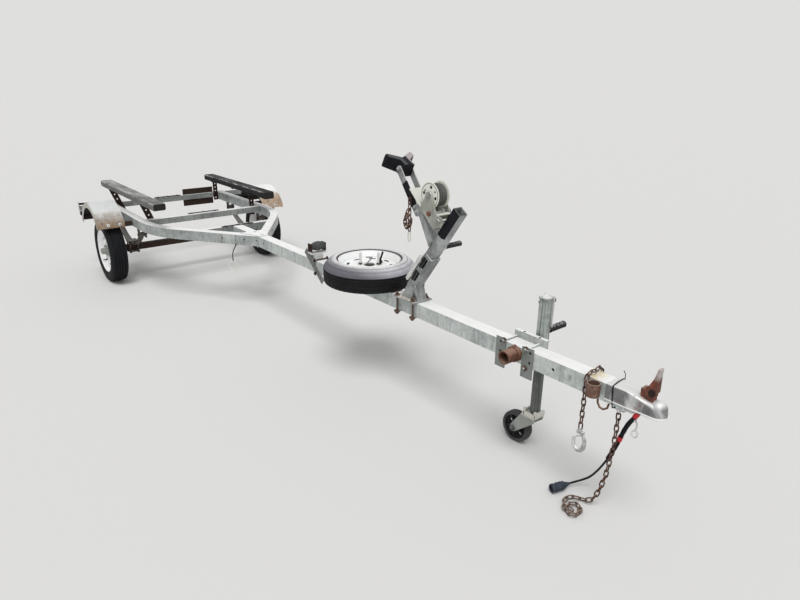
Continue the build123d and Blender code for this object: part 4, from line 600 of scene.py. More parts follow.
class Form:
    """A mesh put together from turned, swept and boxed shapes, and then made one piece."""

    def __init__(self):
        self.mesh = bmesh.new()

    def skin(self, rings, around=True, onward=False, capped=False):
        """Quads over rings of points; around closes each ring, onward joins the last to the first."""
        rows = [[self.mesh.verts.new(point) for point in ring] for ring in rings]
        count = len(rows[0])
        for first, second in zip(rows, rows[1:] + rows[:1] if onward else rows[1:]):
            for k in range(count if around else count - 1):
                after = (k + 1) % count
                self.mesh.faces.new((first[k], first[after], second[after], second[k]))
        if capped:
            self.mesh.faces.new(rows[0][::-1])
            self.mesh.faces.new(rows[-1])
        return self

    def turned(self, outline, origin, axis, steps=48, closed=False, vary=None):
        """Turn an outline of distance along the axis and radius."""
        axis = Vector(axis).normalized()
        side = axis.orthogonal().normalized()
        other = axis.cross(side)
        rings = []
        for step, (c, s) in enumerate(circle(steps)):
            out = side * c + other * s
            ring = []
            for along, radius in outline:
                extra = vary(step, along, radius) if vary else 0
                ring.append(Vector(origin) + axis * along + out * (radius + extra))
            rings.append(ring)
        return self.skin(rings, around=closed, onward=True)

    def disc(self, at, axis, radius, height, steps=18):
        return self.turned([(0, radius), (height, radius), (height, 0)], at, axis, steps)

    def swept(self, points, radius=0, sides=10, closed=False, section=None, side=None):
        """A round bar, or one of a given section, along points; radius may be a list."""
        points = [Vector(point) for point in points]
        last = len(points) - 1
        normal = None
        rings = []
        for k, point in enumerate(points):
            before = points[k - 1] if k or closed else point
            after = points[(k + 1) % len(points)] if k < last or closed else point
            tangent = (after - before).normalized()
            normal = normal or (Vector(side) if side else tangent.orthogonal())
            normal = (normal - tangent * normal.dot(tangent)).normalized()
            other = tangent.cross(normal)
            size = radius[k] if isinstance(radius, list) else radius
            outline = section or [(c * size, s * size) for c, s in circle(sides)]
            rings.append([point + normal * a + other * b for a, b in outline])
        return self.skin(rings, onward=closed, capped=not closed)

    def hoop(self, centre, first, second, radius, thick, steps, sides=8):
        """A closed round bar on a circle in the plane of two directions."""
        points = [Vector(centre) + (first * c + second * s) * radius for c, s in circle(steps)]
        return self.swept(points, thick, sides, True)

    def boxed(self, centre, size, axes=None):
        """A box; axes are the directions of its sides."""
        turn = Matrix(axes).transposed().to_4x4() if axes else Matrix()
        scale = Matrix.Diagonal((*size, 1))
        bmesh.ops.create_cube(self.mesh, size=1, matrix=Matrix.Translation(Vector(centre)) @ turn @ scale)
        return self

    def prism(self, outline, depth):
        """A flat outline of points, made thick along depth."""
        first = [Vector(point) for point in outline]
        return self.skin([first, [point + depth for point in first]], capped=True)

    def bolt(self, at, direction, radius=0.009, height=0.007, washer=True):
        """A hexagon head on its washer, with the bolt's rounded end."""
        if washer:
            self.turned(
                [(0, 0), (0, radius * 1.5), (0.0016, radius * 1.5), (0.0016, 0)], at, direction, 20,
            )
        head = [(0.001, radius * 0.96), (height * 0.85, radius), (height, radius * 0.9), (height, 0)]
        shank = radius * 0.5
        end = [
            (height * 0.9, shank), (height * 1.35, shank), (height * 1.5, radius * 0.38), (height * 1.5, 0),
        ]
        return self.turned(head, at, direction, 6).turned(end, at, direction, 14)

    def bolt_pair(self, middle, apart, radius, height, washer=True):
        """Two bolts that face away from each other, apart to each side of a middle point."""
        for side in SIDES:
            self.bolt(Vector(middle) + Y * side * apart, Y * side, radius, height, washer)
        return self

    def done(self, name, material, body="frame", replaces=(), rounded=0.0, angle=38):
        """Make the piece, smooth but for its sharp edges, and let it ride."""
        bmesh.ops.remove_doubles(self.mesh, verts=self.mesh.verts, dist=1e-6)
        bmesh.ops.recalc_face_normals(self.mesh, faces=self.mesh.faces)
        for face in self.mesh.faces:
            face.smooth = True
        for edge in self.mesh.edges:
            edge.smooth = len(edge.link_faces) == 2 and edge.calc_face_angle(0) < math.radians(angle)
        data = bpy.data.meshes.new(name)
        self.mesh.to_mesh(data)
        self.mesh.free()
        data.materials.append(bpy.data.materials[material])
        piece = bpy.data.objects.new(name, data)
        scene.collection.objects.link(piece)
        if rounded:
            round_edges(piece, rounded, angle)
        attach(piece, body)
        if replaces:
            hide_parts(*replaces)
        return piece


# Cable, its tape and its plug.
cable_curve.materials.append(bpy.data.materials["rubber_black"])
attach(cable, "frame")
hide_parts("cable")
THIN_FROM = 0.205
taped = [point for point in cable_line if point.z > THIN_FROM]
tape_sizes = [0.0088 + 0.0008 * noise.noise(point * 60) for point in taped]
tape_sizes[-1] = 0.0056
cable_tape = Form().swept(taped, tape_sizes, 14).done("cable_tape", "tape_black")
marks = Form()
for height, reach in ((0.462, 0.015), (0.330, 0.012)):
    marks.swept([point for point in cable_line if abs(point.z - height) < reach], 0.0104, 14)
cable_marks = marks.done("cable_red_tape", "tape_red")

plug_foot = Vector(CABLE_POINTS[-1])
plug_axis = (plug_foot - Vector(CABLE_POINTS[-2])).normalized()
PLUG_OUTLINE = mm(
    (-4, 0), (-4, 6.2), (6, 8.5), (14, 11.8), (24, 12.8), (24.5, 17.5), (31, 18.7), (40, 18.7), (41, 17.2),
    (45, 17.2), (46, 18.7), (84, 18.7), (86, 17.5), (86, 14.5), (78, 14), (78, 0),
)


def plug_ribs(step, along, radius):
    return -0.0011 if 0.046 <= along <= 0.08 and radius > 0.018 and step % 4 == 0 else 0


plug_form = Form().turned(PLUG_OUTLINE, plug_foot, plug_axis, 56, vary=plug_ribs)
plug = plug_form.done("light_plug_body", "plug_plastic", replaces=("plug",))
screws = Form()
plug_side = plug_axis.cross(Z).normalized()
plug_lift = plug_side.cross(plug_axis)
for along, lean in ((0.034, 0.7), (0.056, 0.45), (0.072, 0.8)):
    out = (plug_lift * lean + plug_side * (1 - lean)).normalized()
    screws.bolt(plug_foot + plug_axis * along + out * 0.0178, out, 0.003, 0.0018, False)
plug_screws = screws.done("plug_screws", "zinc_bright")

# Tyres: ribbed tread, notched shoulders and stepped side walls. The spare's upper wall is worn rounder.
TYRE_SIDE = mm(
    (46, 165), (50, 176.2), (54.5, 178.8), (57.5, 183), (60, 188), (62.5, 190), (62.5, 193.5), (63.5, 204),
    (65.2, 210), (65.5, 218), (64.8, 224), (65.8, 226), (65.2, 229), (63.8, 238), (61.5, 247), (57.5, 254.5),
    (50, 259.5),
)
TYRE_TREAD = mm(
    (47, 260), (36.5, 260.3), (35.5, 254.5), (30.5, 254.5), (29.5, 260.5), (13.5, 260.5), (12.5, 254.5),
    (7.5, 254.5), (6.5, 260.5),
)
SPARE_UP = mm(
    (46, 165), (52, 176.2), (56.5, 179.5), (60, 184), (62.5, 189), (62.8, 195), (61.8, 202), (60, 209),
    (59, 211), (59.2, 215), (56, 221), (51.5, 228), (46.5, 234.5), (41, 241), (34.5, 247.5),
    (27.5, 253.5), (20.5, 258),
    (15, 260), (11, 260.5), (10, 258), (6.5, 258), (5.5, 260.5), (-5, 260.5), (-6, 258), (-9.5, 258),
    (-10.5, 260.5), (-21, 260.5), (-22, 258), (-25.5, 258), (-26.5, 260.5), (-43, 260.5), (-44, 258),
    (-47.5, 258), (-48.5, 260.3), (-60, 259), (-67, 254.5), (-70, 245), (-69.5, 235), (-66, 224),
)
SPARE_LOW = [(-along, radius) for along, radius in TYRE_SIDE if radius < 0.2235][::-1]
SPARE_OUTLINE = SPARE_UP + SPARE_LOW + [(0, BEAD_R)]
tyre_half = TYRE_SIDE + TYRE_TREAD
TYRE_OUTLINE = [(-along, radius) for along, radius in tyre_half] + tyre_half[::-1] + [(0, BEAD_R)]


TYRE_STEPS = 156
NOTCH_DEPTH = 0.0022


def shoulder_notches(step, along, radius):
    on_shoulder = 0.246 < radius < 0.2598 and abs(along) > 0.049
    return -NOTCH_DEPTH if on_shoulder and step % 3 == 0 else 0


def tyre(name, centre, axis, material, body, node, outline=TYRE_OUTLINE):
    form = Form().turned(outline, centre, axis, TYRE_STEPS, True, shoulder_notches)
    form.done(name, material, body, (node,), angle=30)


def wheel_trim(name, centre, axis, body):
    """The rim's rolled lips and the raised ring of its disc."""
    form = Form().turned(mm((21.5, 66.5), (26.5, 70), (29.2, 79), (28.2, 90), (21.5, 101)), centre, axis, 64)
    across = axis.orthogonal().normalized()
    for side in SIDES:
        form.hoop(centre + axis * side * 0.0545, across, axis.cross(across), 0.1738, 0.0032, 72)
    form.done(name, "rim_white", body)


def slot_shadows(name, centre, axis, body):
    """The dark seen in the disc's ring of slots."""
    form = Form()
    for c, s in circle(8):
        out = X * c + axis.cross(X) * s
        middle = centre + axis * 0.0219 + out * 0.122
        form.prism(stadium(middle, axis.cross(out), out, 0.0142, 0.0078), axis * 0.0004)
    form.done(name, "rubber_black", body)


def hub_trim(name, centre, axis, body):
    """Grease cap and valve stem."""
    cap = mm((45, 28.5), (54.5, 29), (56, 26.5), (70, 25.5), (78, 21.5), (81, 12), (82, 0))
    Form().turned(cap, centre, axis, 32).done(name + "_cap", "hub_grey", body)
    stem = mm((18, 0), (18, 6.5), (26, 5.5), (30, 4), (52, 4), (54, 0))
    foot = centre + axis.orthogonal().normalized() * 0.143
    Form().turned(stem, foot, axis, 14).done(name + "_valve", "rubber_black", body)


for name, side in HANDS.items():
    wheel = (Vector((AXLE_X, side * TRACK_HALF, WHEEL_R)), Y * side)
    body = "wheel_" + name
    tyre("tyre_ribbed_" + name, *wheel, "rubber_tyre", body, "tyre_" + name)
    wheel_trim("rim_trim_" + name, *wheel, body)
    hub_trim("hub_trim_" + name, *wheel, body)
    slot_shadows("rim_slots_" + name, *wheel, body)
spare = Vector((SPARE_X, 0, SPARE_Z))
tyre("tyre_ribbed_spare", spare, Z, "rubber_spare", "frame", "spare_tyre", SPARE_OUTLINE)
wheel_trim("rim_trim_spare", spare, Z, "frame")
slot_shadows("rim_slots_spare", spare, Z, "frame")

# Spare wheel's hold: pale threaded posts, a folded bracket, a strut, and painted shade below the disc's
# slots.
POST_AT = Vector((math.cos(math.radians(50)), math.sin(math.radians(50)), 0)) * 0.0508
THREADS = [(0.024 + 0.0024 * k, 0.0064 if k % 2 else 0.0070) for k in range(29)] + mm((93.5, 5), (94, 0))
posts = Form()
post_nuts = Form()
for side in SIDES:
    foot = spare + POST_AT * side
    posts.turned(THREADS, foot, Z, 14)
    post_nuts.bolt(foot + Z * 0.0222, Z, 0.0115, 0.009)
posts.done("spare_posts_threads", "zinc_white")
post_nuts.done("spare_nuts", "zinc_bright")
away = Vector((-math.sin(YAW), math.cos(YAW), 0))
fold = mm((-20, 66), (16, 66), (14, 60), (-10, 36), (-12, 30), (24, 30))
folded = Form()
folded.swept(
    [spare - away * 0.004 + level * reach + Z * rise for reach, rise in fold],
    section=rectangle(0.0022, 0.007), side=Z,
)
folded.boxed(spare + Z * 0.0265, (0.050, 0.018, 0.007), (level, away, Z))
folded.done("spare_bracket", "zinc_dark", rounded=0.0006)
strut_line = [spare + level * reach + Z * rise for reach, rise in mm((60, 23), (61, 50), (76, 98))]
strut = Form().swept(strut_line, section=rectangle(0.0055, 0.002), side=level)
strut.bolt(spare + level * 0.064 + Z * 0.040 - away * 0.002, -away, 0.007, 0.006)
strut.done("spare_strut", "rubber_black", rounded=0.0008)
# Painted shade: a dark disc under the rim's disc, seen through its slots.
slot_shade_disc = Form().turned(mm((14.5, 0), (14.5, 31.5), (15, 31.8), (15, 0)), spare, Z, 40)
slot_shade_disc.done("spare_shade_below", "rubber_black")


# Fenders: beads along both edges, and bolts with pale washers.
def fender_point(degrees, radius, y):
    turn = math.radians(degrees)
    return Vector((FENDER_X + radius * math.cos(turn), y, FENDER_Z + radius * math.sin(turn)))


BEADS = (
    (FENDER_OUTER_Y - 0.002, FENDER_R - 0.001, 0.0028), (FENDER_INNER_Y + 0.002, FENDER_R - 0.002, 0.0024),
)
BEAD_STEPS = 60
bead_turns = [
    FENDER_FRONT + (FENDER_BACK - FENDER_FRONT) * step / BEAD_STEPS for step in range(BEAD_STEPS + 1)
]
washers = Form()
heads = Form()
for name, side in HANDS.items():
    bead = Form()
    for y, radius, size in BEADS:
        bead.swept([fender_point(turn, radius, side * y) for turn in bead_turns], size, 8)
    bead.done("fender_bead_" + name, "fender_near" if side < 0 else "fender_far")
    for degrees in (FENDER_FRONT + 5, FENDER_BACK - 5):
        for y in (0.655, 0.742):
            out = fender_point(degrees, 1, 0) - fender_point(degrees, 0, 0)
            foot = fender_point(degrees, FENDER_R - 0.0002, side * y)
            washers.turned(mm((0, 5), (0, 12.5), (2, 12.5), (3.2, 6)), foot, out, 20)
            heads.bolt(foot + out * 0.002, out, 0.0055, 0.005, False)
washers.done("fender_washers", "zinc_white")
heads.done("fender_bolt_heads", "hub_grey")

# Bolts, nuts and the junction's side plates.
nuts = Form()
for side in SIDES:
    for rod_x in (-0.033, 0.033):
        for rod_y in (-0.031, 0.031):
            nuts.bolt((AXLE_X + rod_x, side * RAIL_MID_Y + rod_y, 0.2275), -Z, 0.0095, 0.009)
    for end in SIDES:
        nuts.bolt_pair((AXLE_X + end * 0.320, side * RAIL_MID_Y, 0.432), 0.0275, 0.0105, 0.008)
for y, z in ((-0.434, 0.520), (-0.442, 0.545), (0.438, 0.520), (0.438, 0.545)):
    nuts.bolt((CROSS_MIDDLE_X - 0.031, y, z), -X, 0.008, 0.007)
for y, z in ((-0.434, 0.520), (-0.446, 0.545), (0.471, 0.520), (0.471, 0.545)):
    nuts.bolt((RAIL_REAR + 0.006, y, z), X, 0.008, 0.007)
nuts.done("running_gear_nuts", "rust_dark")
plates = Form()
for side in SIDES:
    plates.boxed((JUNCTION_X + 0.004, side * (TONGUE_HALF + 0.004), FRAME_TOP - 0.040), (0.006, 0.008, 0.080))
plates.done("junction_straps", "zinc_frame", rounded=0.001)
APEX_X = JUNCTION_X + TONGUE_HALF / math.tan(RAIL_SPLAY)
rail_bolts = Form()
for reach in (0.075, 0.175, 0.355):
    for side in SIDES:
        foot = (APEX_X - reach * math.cos(RAIL_SPLAY), side * reach * math.sin(RAIL_SPLAY), 0.524)
        rail_bolts.bolt(foot, (math.sin(RAIL_SPLAY), side * math.cos(RAIL_SPLAY), 0), 0.0055, 0.003, False)
rail_bolts.done("rail_bolts", "rust_dark")

# Wiring looms along the tops of the crossmembers, with their clips.
LOOM_RUNS = (
    (CROSS_MIDDLE_X - 0.017, -0.148, 0.119), (RAIL_REAR - 0.008, -0.127, 0.118),
    (CROSS_FRONT_X + 0.017, -0.123, 0.136),
)
LOOM_STEPS = 14
looms = Form()
clips = Form()
for x, start, end in LOOM_RUNS:
    run = [
        (x + 0.0015 * math.sin(step * 1.7), start + (end - start) * step / LOOM_STEPS, FRAME_TOP + 0.0028)
        for step in range(LOOM_STEPS + 1)
    ]
    looms.swept(run, section=mm((-10, -2.5), (-6, 3.5), (6, 3.5), (10, -2.5)), side=X)
    for place in (start + 0.03, (start + end) / 2, end - 0.03):
        clips.boxed((x, place, FRAME_TOP + 0.0035), (0.030, 0.008, 0.0075))
looms.done("wiring_looms", "loom_black")
clips.done("loom_clips", "rubber_black", rounded=0.001)

# Tail lights: ribbed red lenses behind, bright edges on the housings.
lenses = Form()
edges = Form()
for side in SIDES:
    middle = Vector((REAR_X - 0.0005, side * LAMP_Y, LAMP_Z))
    for rib in range(9):
        lenses.boxed(middle + Vector((0.001, 0, -0.044 + rib * 0.011)), (0.007, 0.078, 0.008))
    lenses.boxed(middle + X * 0.002, (0.006, 0.082, 0.104))
    edges.boxed((REAR_X + 0.020, side * (LAMP_Y + 0.0448), LAMP_Z), (0.034, 0.002, 0.100))
    edges.boxed((REAR_X + 0.020, side * LAMP_Y, FRAME_TOP + 0.0168), (0.034, 0.080, 0.002))
lenses.done("tail_lenses", "lamp_red", rounded=0.0012)
edges.done("tail_light_edges", "zinc_white", rounded=0.0008)


# Bunks: carpet wrapped over a board, folded at the ends and stapled below.
def bunk(name, y, top, start, end, material, node, sag=0.0):
    """A board of rounded section with the carpet's slack and nap in its surface."""
    half_width, half_height, corner = 0.0485, 0.0265, 0.012
    spacing, curl, hanging, staple_gap = 0.012, 0.0125, 0.22, 0.07
    section = [
        (sign_y * (half_width - corner) + corner * c, sign_z * (half_height - corner) + corner * s)
        for sign_y, sign_z, first in ((1, -1, -90), (1, 1, 0), (-1, 1, 90), (-1, -1, 180))
        for c, s in arc(first, first + 90, 6)
    ]
    count = int((end - start) / spacing)
    stations = [start, start + 0.002, start + 0.008]
    stations += [start + 0.014 + (end - start - 0.028) * step / count for step in range(count + 1)]
    stations += [end - 0.008, end - 0.002, end]
    rings = []
    for x in stations:
        near_end = max(0.0, 1 - min(x - start, end - x) / curl)
        inset = 1 - 0.10 * near_end ** 2
        ring = []
        for a, b in section:
            droop = sag * max(0.0, (x - end + hanging) / hanging) if b < 0 else 0.0
            place = Vector((x, y + a * inset, top - 0.0275 + b * inset - droop))
            slack = 0.0013 * noise.noise(place * 14) + 0.0007 * noise.noise(place * 60)
            ring.append(place + Vector((0, a, b)).normalized() * slack)
        rings.append(ring)
    Form().skin(rings, capped=True).done(name, material, replaces=(node,), angle=50)
    staples = Form()
    for k in range(int((end - start) / staple_gap)):
        for side in SIDES:
            place = (start + staple_gap * (k + 0.5), y + side * 0.030, top - 0.0545)
            staples.boxed(place, (0.011, 0.0012, 0.0012))
    staples.done(name + "_staples", "zinc_bright")


bunk(
    "bunk_carpet_right", 0.043 - RAIL_HALF, 0.756, REAR_X + 0.020, REAR_X + 1.425, "carpet_near",
    "bunk_right",
)
bunk(
    "bunk_carpet_left", RAIL_HALF - 0.096, 0.724, REAR_X - 0.015, REAR_X + 1.270, "carpet_far", "bunk_left",
    sag=0.010,
)

# Keel roller, with ribs worn into the rubber, and its end nuts.
ROLLER_OUTLINE = mm(
    (-44, 7.8), (-44, 16.5), (-41, 18), (-34, 19.5), (-26, 23.5), (-14, 27.5), (0, 29.5), (12, 29.5),
    (22, 27.5), (27.5, 24), (30, 22.5), (33, 25), (40.5, 26.5), (44, 25), (44, 7.8),
)
Form().turned(ROLLER_OUTLINE, ROLLER, Y).done("keel_roller_rubber", "rubber_grey", "roller", ("keel_roller",))
roller_nuts = Form().bolt_pair(ROLLER, 0.0535, 0.011, 0.008)
for rod_z in (FRAME_TOP + 0.005, FRAME_BOTTOM - 0.005):
    roller_nuts.bolt_pair((ROLLER.x + 0.042, 0, rod_z), 0.046, 0.0085, 0.006)
roller_nuts.done("roller_nuts", "rust_dark")


# Winch stand: a black painted patch and a darker band on the post, a bright strip, painted shade in the
# sleeve's slots and open side, and rusty nuts on the base.
def on_post(along, ahead, y):
    return STAND_FOOT + STAND_UP * along + STAND_AHEAD * ahead + Y * y


def post_patch(form, y, thick, *corners):
    """A thin patch on the post's near side; corners are millimetres up the post and ahead."""
    return form.prism([on_post(along, ahead, y) for along, ahead in mm(*corners)], Y * -thick)


black = post_patch(
    Form(), -0.0254, 0.0006, (385, -25.7), (385, 6), (398, 25.7), (557.5, 25.7), (557.5, -25.7),
)
black.done("post_black_tape", "tape_black")
# A darker band on the post's near face, along its rear edge from the sleeve up to the black tape.
stain = post_patch(Form(), -0.0254, 0.0004, (252, -25.7), (252, -17), (384.5, -17), (384.5, -25.7))
stain.done("post_dark_band", "zinc_dark")
strip_outline = stadium(on_post(0.1235, -0.0361, -0.0326), STAND_UP, STAND_AHEAD, 0.085, 0.0105)
strip = Form().prism(strip_outline, Y * 0.0652)
strip.done("clamp_strip_face", "zinc_white", rounded=0.0015)
# Painted shade: black shapes on the sleeve's near face for its slots, and a black patch on the post where it
# shows in the sleeve's open rear side.
slots = Form()
for place in (0.099, 0.1975):
    slots.prism(stadium(on_post(place, -0.008, -0.0319), STAND_UP, STAND_AHEAD, 0.029, 0.0083), Y * -0.0005)
post_patch(slots, -0.0256, 0.0006, (34, -25.5), (252, -25.5), (252, -18.2), (34, -18.2))
slots.done("sleeve_slot_shade", "rubber_black")
stand_nuts = Form()
for clamp_x in (BASE_REAR + 0.014, BASE_FRONT - 0.026):
    for side in SIDES:
        stand_nuts.bolt((clamp_x, side * 0.047, FRAME_TOP + 0.008), Z, 0.0105, 0.010)
        stand_nuts.bolt((clamp_x, side * 0.047, FRAME_BOTTOM - 0.008), -Z, 0.0105, 0.010)
stand_nuts.done("stand_nuts", "rust_chain")

# Bow arm: tape on the near bar, bolt heads at the stop, and the channel's bolts.
bar_up = (STOP_PIVOT - BAR_FOOT).normalized()
tape_middle = BAR_FOOT + bar_up * 0.103 - Y * 0.035
bar_tape = Form().boxed(tape_middle, (0.0378, 0.0082, 0.128), (Y.cross(bar_up), Y, bar_up))
bar_tape.done("bar_black_tape", "tape_black", rounded=0.001)
arm_bolts = Form().bolt_pair(STOP_PIVOT, 0.038, 0.0105, 0.008)
for along in (0.004, 0.030):
    arm_bolts.bolt_pair(BAR_FOOT + bar_up * along, 0.038, 0.008, 0.006)
arm_bolts.done("arm_bolts", "zinc_stand")

# Winch: flange rims, wound strap, bushing, through bolts, pawl and grip.
flange = Form().hoop(DRUM - Y * 0.0345, X, Z, 0.0618, 0.0022, 56)
flange.turned(mm((-36.5, 0), (-36.5, 17), (-38.5, 16), (-38.5, 0)), DRUM, Y, 24)
flange.done("drum_flange_rim", "cream_plating", "drum")
# Painted shade: a dark ring on the flange for its groove.
groove = Form().turned(mm((0, 54.8), (0.5, 54.8), (0.5, 57.8), (0, 57.8)), DRUM - Y * 0.0362, -Y, 56, True)
groove.done("drum_flange_groove_shade", "zinc_dark", "drum")
# Painted shade: dark discs on the flange for its holes.
holes = Form()
for c, s in arc(78, 348, 4):
    holes.disc(DRUM + Vector((0.041 * c, -0.0362, 0.041 * s)), -Y, 0.0075, 0.0004, 20)
holes.done("drum_flange_hole_shade", "rubber_black", "drum")
VALLEY = 0.0467
strap = [(-0.0315, 0.019)]
for turn in range(4):
    left = -0.0315 + turn * 0.0153
    crown = 0.0540 - 0.0012 * (turn % 2)
    strap += [(left + 0.0004, VALLEY), (left + 0.0030, crown)]
    strap += [(left + 0.0125, crown), (left + 0.0149, VALLEY)]
strap.append((0.0297, 0.019))
Form().turned(strap, DRUM, Y, 64).done("winch_strap_wound", "strap_grey", "drum", ("winch_strap",), angle=25)
bushing = Form().turned(mm((49, 12.5), (51.5, 12.5), (52.5, 11), (56, 10.5), (56.5, 0)), PINION, -Y, 28)
bushing.done("pinion_bushing", "rust_bright")
boss = DRUM + Vector((0.078, 0, -0.109))
through = Form().bolt_pair(boss, 0.058, 0.0095, 0.005, False).bolt_pair(DRUM, 0.050, 0.0095, 0.007)
through.done("winch_bolts", "hub_grey")
PAWL_OUTLINE = mm((-12, 22, 4), (10, 22, -10), (16, 22, 4), (0, 22, 22), (-12, 22, 20))
pawl = Form().prism([boss + Vector(point) for point in PAWL_OUTLINE], Y * 0.005)
pawl.hoop(boss, X, Z, 0.0098, 0.0016, 20, 6).done("winch_pawl", "rust_dark")


def grip(name, start, length, radius, body):
    """A hand grip with swollen ends and shallow rings, over its bar."""
    outline = [(0.0, radius * 0.7), (0.0015, radius * 1.02), (0.006, radius * 1.12), (0.011, radius * 1.05)]
    for ring in range(5):
        at = 0.016 + (length - 0.032) * ring / 4
        outline += [(at - 0.002, radius * 1.05), (at, radius), (at + 0.002, radius * 1.05)]
    outline += [(length - 0.010, radius * 1.06), (length - 0.005, radius * 1.12)]
    outline += [(length, radius * 0.9), (length + 0.001, 0)]
    Form().turned(outline, start, Y, 28).done(name, "grip_black", body)


crank_end = PINION - Vector((math.sin(CRANK_BACK), 0, math.cos(CRANK_BACK))) * CRANK_REACH
grip("winch_grip", crank_end + Y * 0.080, 0.109, 0.013, "winch_handle")
Form().bolt(PINION + Y * 0.080, Y, 0.0105, 0.008).done("crank_nut", "zinc_stand", "winch_handle")


# Jack: fluted tubes, a cap, the crank's grip, the fork's head and the wheel's nuts.
FLUTE_SPREAD = 0.15


def fluted(radius, depth, low, high, flutes, start, steps=64):
    """A tube round the jack's axis with grooves pressed down its sides."""
    sizes = []
    for step in range(steps):
        turn = 2 * math.pi * step / steps
        groove = 0
        for flute in range(flutes):
            centre = math.radians(start) + 2 * math.pi * flute / flutes
            apart = math.atan2(math.sin(turn - centre), math.cos(turn - centre))
            groove += math.exp(-((apart / FLUTE_SPREAD) ** 2))
        sizes.append(radius - depth * groove)
    rings = []
    for z, shrink in ((low, 0.001), (low + 0.003, 0), (high - 0.003, 0), (high, 0.001)):
        outline = zip(sizes, circle(steps))
        rings.append([
            (JACK_X + (size - shrink) * c, JACK_Y + (size - shrink) * s, z) for size, (c, s) in outline
        ])
    return Form().skin(rings, capped=True)


outer = fluted(0.0285, 0.0055, 0.418, 0.759, 4, -70)
outer.turned(mm((25.7, 30), (37.2, 30)), JACK + Z * 0.530, -Y, 36)
outer.turned(mm((24, 0), (30, 15), (37.5, 15), (38, 14), (38, 0)), JACK + Z * 0.737, Y, 24)
outer.turned(mm((0, 31.6), (7, 31.6), (9.5, 29.5), (9.5, 22), (6, 19), (6, 0)), JACK + Z * 0.7555, Z, 36)
outer.done("jack_outer_fluted", "jack_steel", "jack_tube", ("jack_outer",))
cap_holes = Form()
for c, s in arc(20, 260, 3):
    cap_holes.disc(JACK + Vector((0.0255 * c, 0.0255 * s, 0.7648)), Z, 0.0032, 0.0006, 12)
cap_holes.disc(JACK + Vector((-0.0215, -0.0205, 0.735)), (-0.7, -0.7, 0), 0.0055, 0.001, 14)
cap_holes.done("jack_cap_screws", "rubber_black", "jack_tube")
inner = fluted(0.0240, 0.0030, 0.192, 0.549, 6, -58)
inner.done("jack_inner_fluted", "jack_dark", "jack_leg", ("jack_inner",))
grip("jack_grip", JACK + Vector((0, 0.041, 0.597)), 0.112, 0.0145, "jack_handle")
jack_nut = Form().bolt(JACK + Vector((0, 0.053, 0.737)), Y, 0.0095, 0.006)
jack_nut.done("jack_crank_nut", "zinc_stand", "jack_handle")
FORK = JACK - X * 0.006
head = Form()
for side in SIDES:
    head.boxed(FORK + Vector((side * 0.032, 0, 0.190)), (0.009, 0.070, 0.030))
    head.boxed(FORK + Vector((0, side * 0.0315, 0.186)), (0.070, 0.007, 0.022))
    head.boxed(FORK + Vector((side * 0.030, -0.029, 0.206)), (0.013, 0.011, 0.014))
head.done("fork_head", "cream_fork", "caster_yoke", rounded=0.002)
spokes = Form()
for side in SIDES:
    for c, s in arc(48, 336, 5):
        out = Vector((c, 0, s))
        spokes.boxed(CASTER + out * 0.040 + Y * side * 0.0125, (0.042, 0.009, 0.009), (out, Y, out.cross(Y)))
    spokes.turned(mm((10, 0), (10, 19), (19, 17), (20, 0)), CASTER, Y * side, 28)
spokes.done("caster_spokes", "wheel_plastic", "caster", rounded=0.0012)
Form().bolt_pair(CASTER, 0.0378, 0.0105, 0.006).done("caster_axle_nuts", "jack_dark", "caster_yoke")

# Jack mount: nuts on the rods, and painted shade for the holes in the far plate's lips and the near straps.
mount_nuts = Form()
for rod_x in (JACK_X - 0.093, JACK_X + 0.031):
    for rod_z in (FRAME_TOP + 0.0065, FRAME_BOTTOM - 0.0065):
        mount_nuts.bolt((rod_x, -0.044, rod_z), -Y, 0.0085, 0.008)
mount_nuts.done("mount_nuts", "zinc_stand")
mount_hole_shade = Form()
for x in (JACK_X - 0.057, JACK_X + 0.028):
    mount_hole_shade.disc((x, 0.0465, 0.5918), Z, 0.0062, 0.0006)
for x in (JACK_X - 0.112, JACK_X + 0.052):
    for z in (0.507, 0.553):
        mount_hole_shade.disc((x, -0.0438, z), -Y, 0.006, 0.0006)
mount_hole_shade.done("mount_hole_shade", "rubber_black")

# Coupler: a pressed channel that narrows and drops to a round ball cap, on a flange.
COUPLER_FOOT = 0.499
CAP_R = 0.0315
FLANGE_FOOT = 0.4975
# For each station its place, half width, top and the radius of its shoulders.
COUPLER_STATIONS = mm(
    (-228, 42, 562.2, 4), (-150, 42, 562.2, 5), (-135, 41.6, 561.2, 7), (-120, 40.2, 558, 9),
    (-105, 38.2, 553.5, 11), (-90, 36.4, 549, 13), (-75, 35.2, 546, 15), (-60, 34.6, 544, 16),
    (-45, 34.4, 542, 17), (-30, 32.5, 538.5, 18), (-18, 27, 533, 18), (-9, 18, 526, 15), (-4, 7, 515, 6),
)
rings = []
for x, half_width, top, shoulder in COUPLER_STATIONS:
    near = [(-half_width, COUPLER_FOOT)]
    near += [(-half_width + shoulder * (1 - s), top - shoulder * (1 - c)) for c, s in arc(90, 0, 7)]
    rings.append([Vector((NOSE_X + x, y, z)) for y, z in near + [(-y, z) for y, z in near[::-1]]])
rings.append([
    Vector((NOSE_X - 0.002, point.y * 0.4, COUPLER_FOOT + (point.z - COUPLER_FOOT) * 0.3))
    for point in rings[-1]
])
cap = [(-0.022, 0.033)] + [(CAP_R * s, CAP_R * c) for c, s in arc(0, 90, 13)]
channel = Form().skin(rings, around=False).turned(cap, (NOSE_X - 0.038, 0, 0.5235), Z, 40)
channel = channel.done("coupler_channel", "coupler_zinc", replaces=("coupler",), angle=50)
plate = channel.modifiers.new("plate", "SOLIDIFY")
plate.thickness = 0.003
plate.offset = 0
near = mm((-228, -47), (-140, -47), (-105, -45), (-70, -42.5), (-40, -42))
